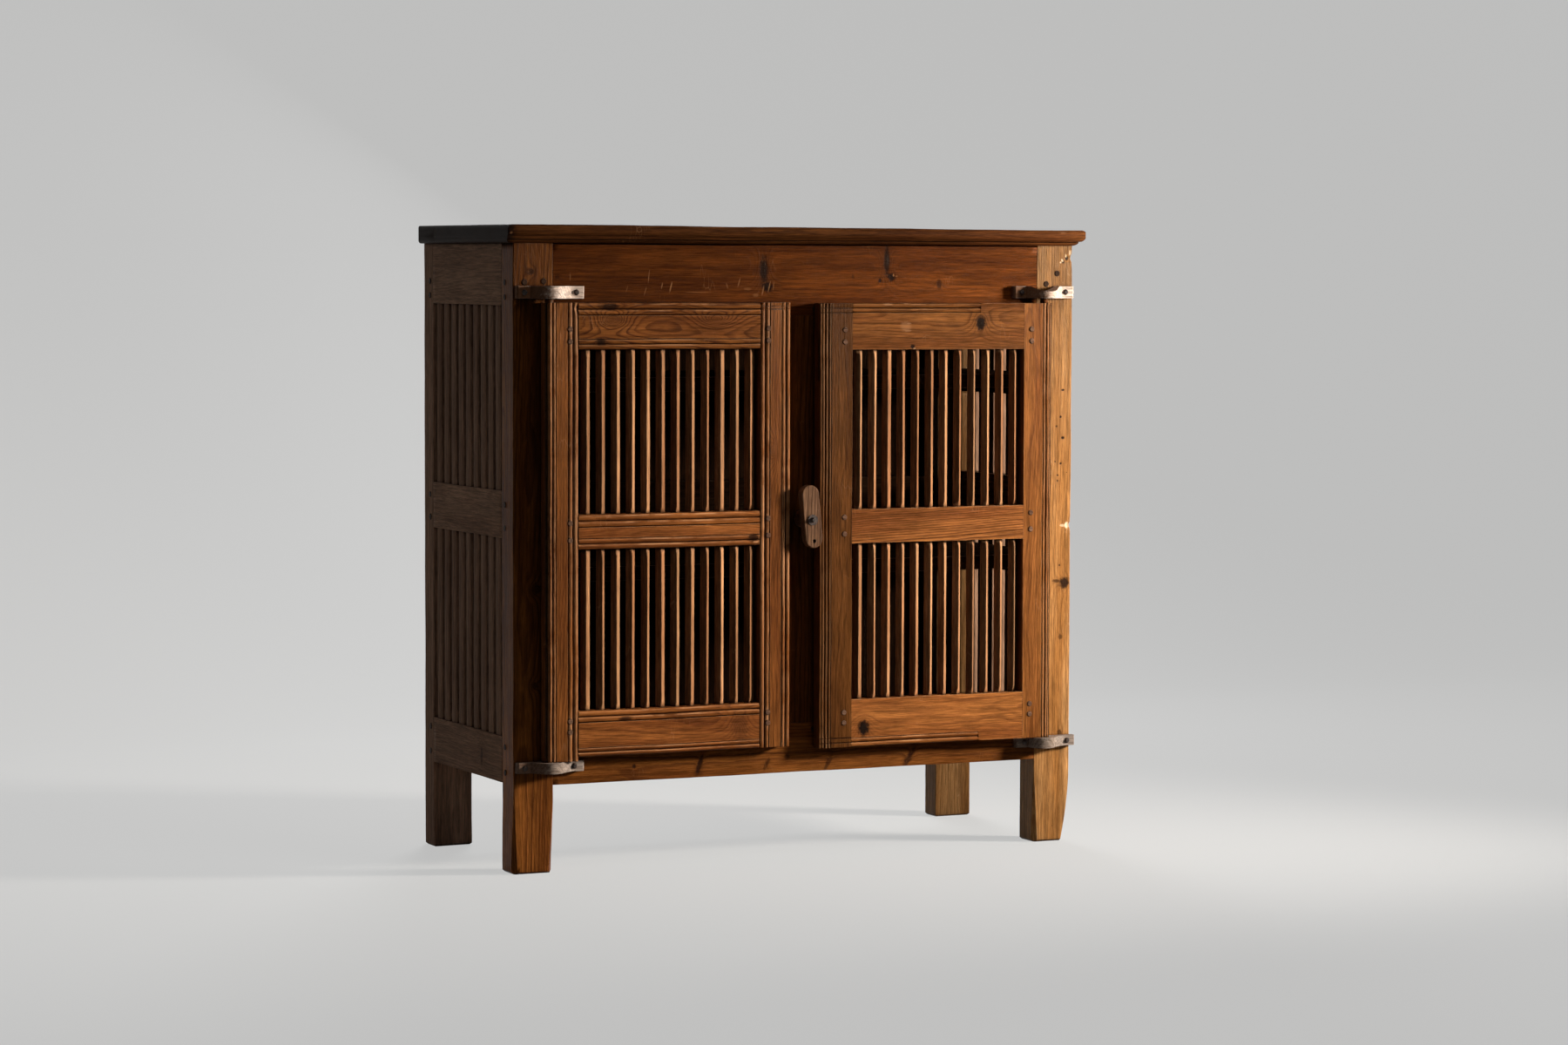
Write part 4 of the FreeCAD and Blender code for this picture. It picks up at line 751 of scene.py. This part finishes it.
# A piece with the node's shape, cut across its grain so that it can sway
def agedCopy(name, material, grain):
    source = frame["nodes"][name]
    mesh = bmesh.new()
    mesh.from_mesh(source.data)
    bmesh.ops.remove_doubles(mesh, verts=mesh.verts, dist=2e-6)
    low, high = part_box(name)
    normal = Vector([abs(v) for v in grainTurns[grain][0]])
    length = (high - low).dot(normal)
    step = wear["insideStep"] if slotOf[name] == "inside_pine" else wear["step"]
    count = max(2, round(length / step))
    for index in range(1, count):
        cutAcross(mesh, low + normal * (length * index / count), normal)
    if name.startswith("front_"):
        across = Vector((normal.z, 0.0, normal.x))
        parts = max(2, round((high - low).dot(across) / wear["step"]))
        for index in range(1, parts):
            cutAcross(mesh, low + across * ((high - low).dot(across) * index / parts), across)
    for spot, reach, push in dents.get(name, []):
        for axis in range(3):
            across = Vector([1.0 if k == axis else 0.0 for k in range(3)])
            for share in (-0.8, -0.4, 0.0, 0.4, 0.8):
                cutAcross(mesh, Vector(spot) + across * (reach[axis] * share), across)
    if "_door_" in name:
        markBeads(mesh, grain)
    for vert in mesh.verts:
        moved = vert.co + sway(vert.co, wear["sway"] * unsteady(name, vert.co))
        if abs(high.z - wear["underTop"]) < 1e-4 and vert.co.z > wear["underTop"] - 1e-4:
            moved.z += wear["tuck"]
        if name.startswith("top_") and name.endswith("_plank") and vert.co.z > warp["above"]:
            share = (vert.co.x - warp["from"]) / (warp["to"] - warp["from"])
            moved.z += warp["rise"] * min(1.0, max(0.0, share))
        for spot, reach, push in dents.get(name, []):
            away = Vector([(vert.co[k] - spot[k]) / reach[k] for k in range(3)]).length
            if away < 1:
                moved += Vector(push) * (1 - away * away)
        vert.co = moved
    for face in mesh.faces:
        face.smooth = True
    finishPiece(mesh, name, material)


# Grooves between the beads of a door's front are marked by their depth, and the beads' crests by a one
def markBeads(mesh, grain):
    hollow = mesh.verts.layers.float.new("hollow")
    crest = mesh.verts.layers.float.new("crest")
    front = min(vert.co.y for vert in mesh.verts)
    axis = 2 if grain == "level" else 0
    widths = {}
    for face in mesh.faces:
        places = [vert.co[axis] for vert in face.verts]
        widths[face] = max(places) - min(places)
    for vert in mesh.verts:
        depth = vert.co.y - front
        if depth < beads["hollowTo"]:
            vert[hollow] = min(1.0, max(0.0, depth - beads["spare"]) / (beads["depth"] - beads["spare"]))
        narrow = all(widths[face] < beads["facet"] for face in vert.link_faces)
        falls = False
        for edge in vert.link_edges:
            away = edge.other_vert(vert).co - vert.co
            sloped = beads["fall"] < away.y < beads["deepest"] and abs(away[axis]) > beads["beside"]
            falls = falls or sloped
        vert[crest] = 1.0 if narrow and falls and depth < beads["crestTo"] else 0.0


# Large faces lead the shading, so that slivers beside them leave no streaks
def finishPiece(mesh, name, material):
    data = bpy.data.meshes.new(name + "Rough")
    mesh.to_mesh(data)
    mesh.free()
    data.set_sharp_from_angle(angle=math.radians(wear["sharpAngle"]))
    data.materials.append(material)
    piece = bpy.data.objects.new(name + "Aged", data)
    bpy.context.scene.collection.objects.link(piece)
    modifier = piece.modifiers.new("evenShade", "WEIGHTED_NORMAL")
    modifier.keep_sharp = True
    modifier.weight = 80
    shaded = bpy.data.meshes.new_from_object(piece.evaluated_get(bpy.context.evaluated_depsgraph_get()))
    piece.modifiers.clear()
    piece.data = shaded
    shaded.name = name + "Aged"
    standFor(piece, name)


def standFor(piece, *names):
    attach(piece, frame["nodes"][names[0]]["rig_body"])
    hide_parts(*names)


for seed, name in enumerate(sorted(woods)):
    look, grain, pith, *own = woods[name]
    low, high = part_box(name)
    material = makePine(
        name, look, grain, (low + high) / 2, 3.7 * seed, knots.get(name, ()), chips.get(name, ()), pith,
        own[0] if own else None, "_door_" in name,
    )
    agedCopy(name, material, grain)
print("aged wood made:", len(woods), "pieces")


# A row of bars or slats. The pared ends of a bar are cut back towards its middle on its front side
def buildStripRow():
    tree, given, result = newGroup(
        "stripRow", "GeometryNodeTree",
        [
            ("Count", "Int", 12), ("Start", "Vector", None), ("Step", "Vector", None),
            ("Width", "Float", 0.0135), ("Depth", "Float", 0.0135), ("Height", "Float", 0.3),
            ("Turn", "Float", 0.0), ("Uneven Turn", "Float", 0.0), ("Arris", "Float", 0.001),
            ("Paring", "Float", 0.0), ("Paring Height", "Float", 0.017), ("Sway", "Float", 0.001),
            ("Seed", "Int", 1), ("Material", "Material", None),
        ],
        [("Geometry", "Geometry")],
    )
    size = joined(tree, given["Width"], given["Depth"], given["Height"])
    block = addNode(
        tree, "GeometryNodeMeshCube", {"Size": size, "Vertices X": 4, "Vertices Y": 4, "Vertices Z": 56},
    ).outputs[0]

    # The rows next to a corner move out to the arris, and the corner itself is rounded inwards
    split = apart(tree, addNode(tree, "GeometryNodeInputPosition").outputs[0])
    outer, placed = [], []
    for value, full in ((split[0], given["Width"]), (split[1], given["Depth"])):
        half = times(tree, full, 0.5)
        isOuter = calc(tree, "GREATER_THAN", calc(tree, "ABSOLUTE", value), times(tree, full, 0.3))
        near = times(tree, calc(tree, "SIGN", value), calc(tree, "SUBTRACT", half, given["Arris"]))
        stay = times(tree, value, isOuter)
        placed.append(calc(tree, "MULTIPLY_ADD", near, calc(tree, "SUBTRACT", 1.0, isOuter), stay))
        outer.append(isOuter)
    corner = times(tree, outer[0], outer[1])
    inward = times(tree, times(tree, given["Arris"], 0.32), corner)
    rounded = []
    for value in placed:
        back = times(tree, calc(tree, "SIGN", value), inward)
        rounded.append(calc(tree, "SUBTRACT", value, back))
    shaped = joined(tree, *rounded, split[2])
    block = addNode(tree, "GeometryNodeSetPosition", {"Geometry": block, "Position": shaped}).outputs[0]
    lift = joined(tree, z=times(tree, given["Height"], 0.5))
    block = addNode(tree, "GeometryNodeTransform", {
        "Geometry": block, "Translation": lift, "Rotation": joined(tree, z=given["Turn"]),
    }).outputs[0]

    # Paring of the front corner at both ends
    split = apart(tree, addNode(tree, "GeometryNodeInputPosition").outputs[0])
    fromTop = calc(tree, "SUBTRACT", given["Height"], split[2])
    nearEnd = calc(tree, "DIVIDE", calc(tree, "MINIMUM", split[2], fromTop), given["Paring Height"])
    share = calc(tree, "SUBTRACT", 1.0, nearEnd, clamp=True)
    front = times(tree, given["Depth"], -0.7071)
    limit = calc(tree, "MULTIPLY_ADD", calc(tree, "POWER", share, 1.3), given["Paring"], front)
    pared = joined(tree, split[0], calc(tree, "MAXIMUM", split[1], limit), split[2])
    block = addNode(tree, "GeometryNodeSetPosition", {"Geometry": block, "Position": pared}).outputs[0]

    points = addNode(
        tree, "GeometryNodeMeshLine",
        {"Count": given["Count"], "Start Location": given["Start"], "Offset": given["Step"]},
    ).outputs[0]
    most = joined(tree, z=given["Uneven Turn"])
    random = addNode(tree, "FunctionNodeRandomValue", {
        "Min": scaled(tree, most, (-1, -1, -1)), "Max": most, "Seed": given["Seed"],
    }, data_type="FLOAT_VECTOR").outputs[0]
    single = addNode(tree, "FunctionNodeRandomValue", {
        "Min": 0.0, "Max": 1.0, "Seed": calc(tree, "ADD", given["Seed"], 7.0),
    }, data_type="FLOAT").outputs[1]
    points = addNode(
        tree, "GeometryNodeStoreNamedAttribute", {"Geometry": points, "Name": "single", "Value": single},
        data_type="FLOAT", domain="POINT",
    ).outputs[0]
    row = addNode(
        tree, "GeometryNodeInstanceOnPoints", {"Points": points, "Instance": block, "Rotation": random},
    ).outputs[0]
    row = addNode(tree, "GeometryNodeRealizeInstances", {"Geometry": row}).outputs[0]

    # Each bar sways and swells along its own length
    where = addNode(tree, "GeometryNodeInputPosition").outputs[0]
    noises = []
    for stretch, octaves in (((58, 58, 6), 1.5), ((90, 90, 24), 2.0)):
        noises.append(addNode(
            tree, "ShaderNodeTexNoise",
            {"Vector": scaled(tree, where, stretch), "W": given["Seed"], "Scale": 1.0, "Detail": octaves},
            noise_dimensions="4D",
        ).outputs["Color"])
    fine = scaled(tree, noises[1], (0.12,) * 3)
    summed = addNode(tree, "ShaderNodeVectorMath", {0: noises[0], 1: fine}).outputs[0]
    middle = {0: summed, 1: (0.56,) * 3}
    centred = addNode(tree, "ShaderNodeVectorMath", middle, operation="SUBTRACT").outputs[0]
    amount = times(tree, given["Sway"], 2.0)
    offset = scaled(tree, centred, joined(tree, amount, amount))
    row = addNode(tree, "GeometryNodeSetPosition", {"Geometry": row, "Offset": offset}).outputs[0]
    row = addNode(tree, "GeometryNodeRealizeInstances", {"Geometry": row}).outputs[0]
    row = addNode(tree, "GeometryNodeSetMaterial", {"Geometry": row, "Material": given["Material"]})
    tree.links.new(row.outputs[0], result["Geometry"])
    return tree


# Runs a tree with these inputs and returns its result as a plain mesh object
def grow(tree, name, values):
    holder = bpy.data.objects.new(name + "Grower", bpy.data.meshes.new(name + "Start"))
    bpy.context.scene.collection.objects.link(holder)
    modifier = holder.modifiers.new("grow", "NODES")
    modifier.node_group = tree
    sockets = {item.name: item.identifier for item in tree.interface.items_tree if item.in_out == "INPUT"}
    for key, value in values.items():
        modifier[sockets[key]] = value
    made = bpy.data.meshes.new_from_object(holder.evaluated_get(bpy.context.evaluated_depsgraph_get()))
    holder.modifiers.clear()
    bpy.data.objects.remove(holder)
    made.name = name
    for polygon in made.polygons:
        polygon.use_smooth = True
    made.set_sharp_from_angle(angle=math.radians(30))
    piece = bpy.data.objects.new(name, made)
    bpy.context.scene.collection.objects.link(piece)
    return piece


bars = {"count": 12, "side": 0.0135, "tenon": 0.012, "uneven": 0.16, "arris": 0.0012, "paring": 0.0056,
        "paringHeight": 0.016, "sway": 0.0008}
slats = {"count": 9, "width": 0.025, "thickness": 0.009, "arris": 0.0012, "sway": 0.0008}
stripRow = buildStripRow()


def makeBars(name, seed):
    low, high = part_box(name)
    corner = bars["side"] / math.sqrt(2)
    pitch = (high.x - low.x - 2 * corner) / (bars["count"] - 1)
    material = makePine(name, "bar", "upright", (low + high) / 2, 5.3 * seed, pith=(0.2, 0.03))
    piece = grow(stripRow, name + "Row", {
        "Count": bars["count"], "Start": (low.x + corner, (low.y + high.y) / 2, low.z + bars["tenon"]),
        "Step": (pitch, 0.0, 0.0), "Width": bars["side"], "Depth": bars["side"],
        "Height": high.z - low.z - 2 * bars["tenon"], "Turn": math.radians(45), "Uneven Turn": bars["uneven"],
        "Arris": bars["arris"], "Paring": bars["paring"], "Paring Height": bars["paringHeight"],
        "Sway": bars["sway"], "Seed": seed, "Material": material,
    })
    standFor(piece, name)


def makeSlats(name, seed):
    low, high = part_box(name)
    pitch = (high.y - low.y - slats["width"]) / (slats["count"] - 1)
    material = makePine(name, "side", "sideUpright", (low + high) / 2, 5.3 * seed, pith=(0.09, 0.03))
    piece = grow(stripRow, name + "Row", {
        "Count": slats["count"], "Start": ((low.x + high.x) / 2, low.y + slats["width"] / 2, low.z),
        "Step": (0.0, pitch, 0.0), "Width": slats["thickness"], "Depth": slats["width"],
        "Height": high.z - low.z, "Turn": 0.0, "Uneven Turn": 0.0, "Arris": slats["arris"], "Paring": 0.0,
        "Paring Height": 0.02, "Sway": slats["sway"], "Seed": seed, "Material": material,
    })
    standFor(piece, name)


seed = 11
for side in ("left", "right"):
    for level in ("upper", "lower"):
        makeBars(f"{side}_door_{level}_bars", seed)
        makeSlats(f"{side}_{level}_slats", seed + 1)
        seed += 2
print("bars and slats made")

iron = makeIron()
pegs = [name for name in frame["nodes"] if name.endswith("pegs")]
pegWoods = {name: makePine(name, "peg", "level", (0, 0, 0.6), 9.0) for name in pegs}
for name, piece in frame["nodes"].items():
    if not piece.hide_render:
        piece.data.materials.clear()
        piece.data.materials.append(pegWoods.get(name, iron))


def makeStage():
    mesh = bmesh.new()
    back, bend, half = studio["back"], studio["bend"], studio["halfWidth"]
    rise = [(studio["front"], 0.0), (back, 0.0)]
    for k in range(studio["bendSteps"]):
        angle = math.radians(90 / studio["bendSteps"] * (k + 1))
        rise.append((back + bend * math.sin(angle), bend - bend * math.cos(angle)))
    rise.append((back + bend, studio["wallTop"]))
    left = [mesh.verts.new((-half, y, z)) for y, z in rise]
    right = [mesh.verts.new((half, y, z)) for y, z in rise]
    for k in range(len(rise) - 1):
        mesh.faces.new((left[k], right[k], right[k + 1], left[k + 1])).smooth = True
    data = bpy.data.meshes.new("paleFloor")
    mesh.to_mesh(data)
    mesh.free()
    floor = bpy.data.objects.new("paleFloor", data)
    bpy.context.scene.collection.objects.link(floor)
    material = bpy.data.materials.new("paleFloor")
    material.use_nodes = True
    tree = material.node_tree
    shader = tree.nodes["Principled BSDF"]
    path = addNode(tree, "ShaderNodeLightPath").outputs
    seen = calc(tree, "MAXIMUM", path["Is Camera Ray"], path["Is Glossy Ray"])
    color = addNode(tree, "ShaderNodeMix", {0: seen}, data_type="RGBA")
    bounce, pale = studio["floorBounce"], studio["paleness"]
    color.inputs[6].default_value = (bounce, bounce, bounce, 1)
    color.inputs[7].default_value = (pale, pale, pale * 0.99, 1)
    tree.links.new(color.outputs[2], shader.inputs["Base Color"])
    shader.inputs["Emission Color"].default_value = (*studio["seenColor"], 1)
    tree.links.new(times(tree, seen, studio["glow"]), shader.inputs["Emission Strength"])
    shader.inputs["Roughness"].default_value = 0.9
    behind = addNode(tree, "ShaderNodeNewGeometry").outputs["Backfacing"]
    clear = addNode(tree, "ShaderNodeBsdfTransparent").outputs[0]
    mixed = addNode(tree, "ShaderNodeMixShader", {0: behind, 1: shader.outputs[0], 2: clear})
    tree.links.new(mixed.outputs[0], tree.nodes["Material Output"].inputs["Surface"])
    data.materials.append(material)


def makeSky():
    world = bpy.data.worlds.new("studioSky")
    bpy.context.scene.world = world
    world.use_nodes = True
    tree = world.node_tree
    path = addNode(tree, "ShaderNodeLightPath").outputs
    seen = calc(tree, "MAXIMUM", path["Is Camera Ray"], path["Is Transmission Ray"])
    strength = calc(
        tree, "MULTIPLY_ADD", seen, studio["seenSky"] - studio["skyStrength"], studio["skyStrength"],
    )
    color = addNode(tree, "ShaderNodeMix", {0: seen}, data_type="RGBA")
    color.inputs[6].default_value = (*studio["skyColor"], 1)
    color.inputs[7].default_value = (*studio["seenColor"], 1)
    back = tree.nodes["Background"]
    tree.links.new(color.outputs[2], back.inputs[0])
    tree.links.new(strength, back.inputs[1])


makeCamera()
for name, settings in lamps.items():
    makeLamp(name, *settings)
makeStage()
makeSky()
bpy.context.scene.view_settings.view_transform = "Standard"
print("studio set")
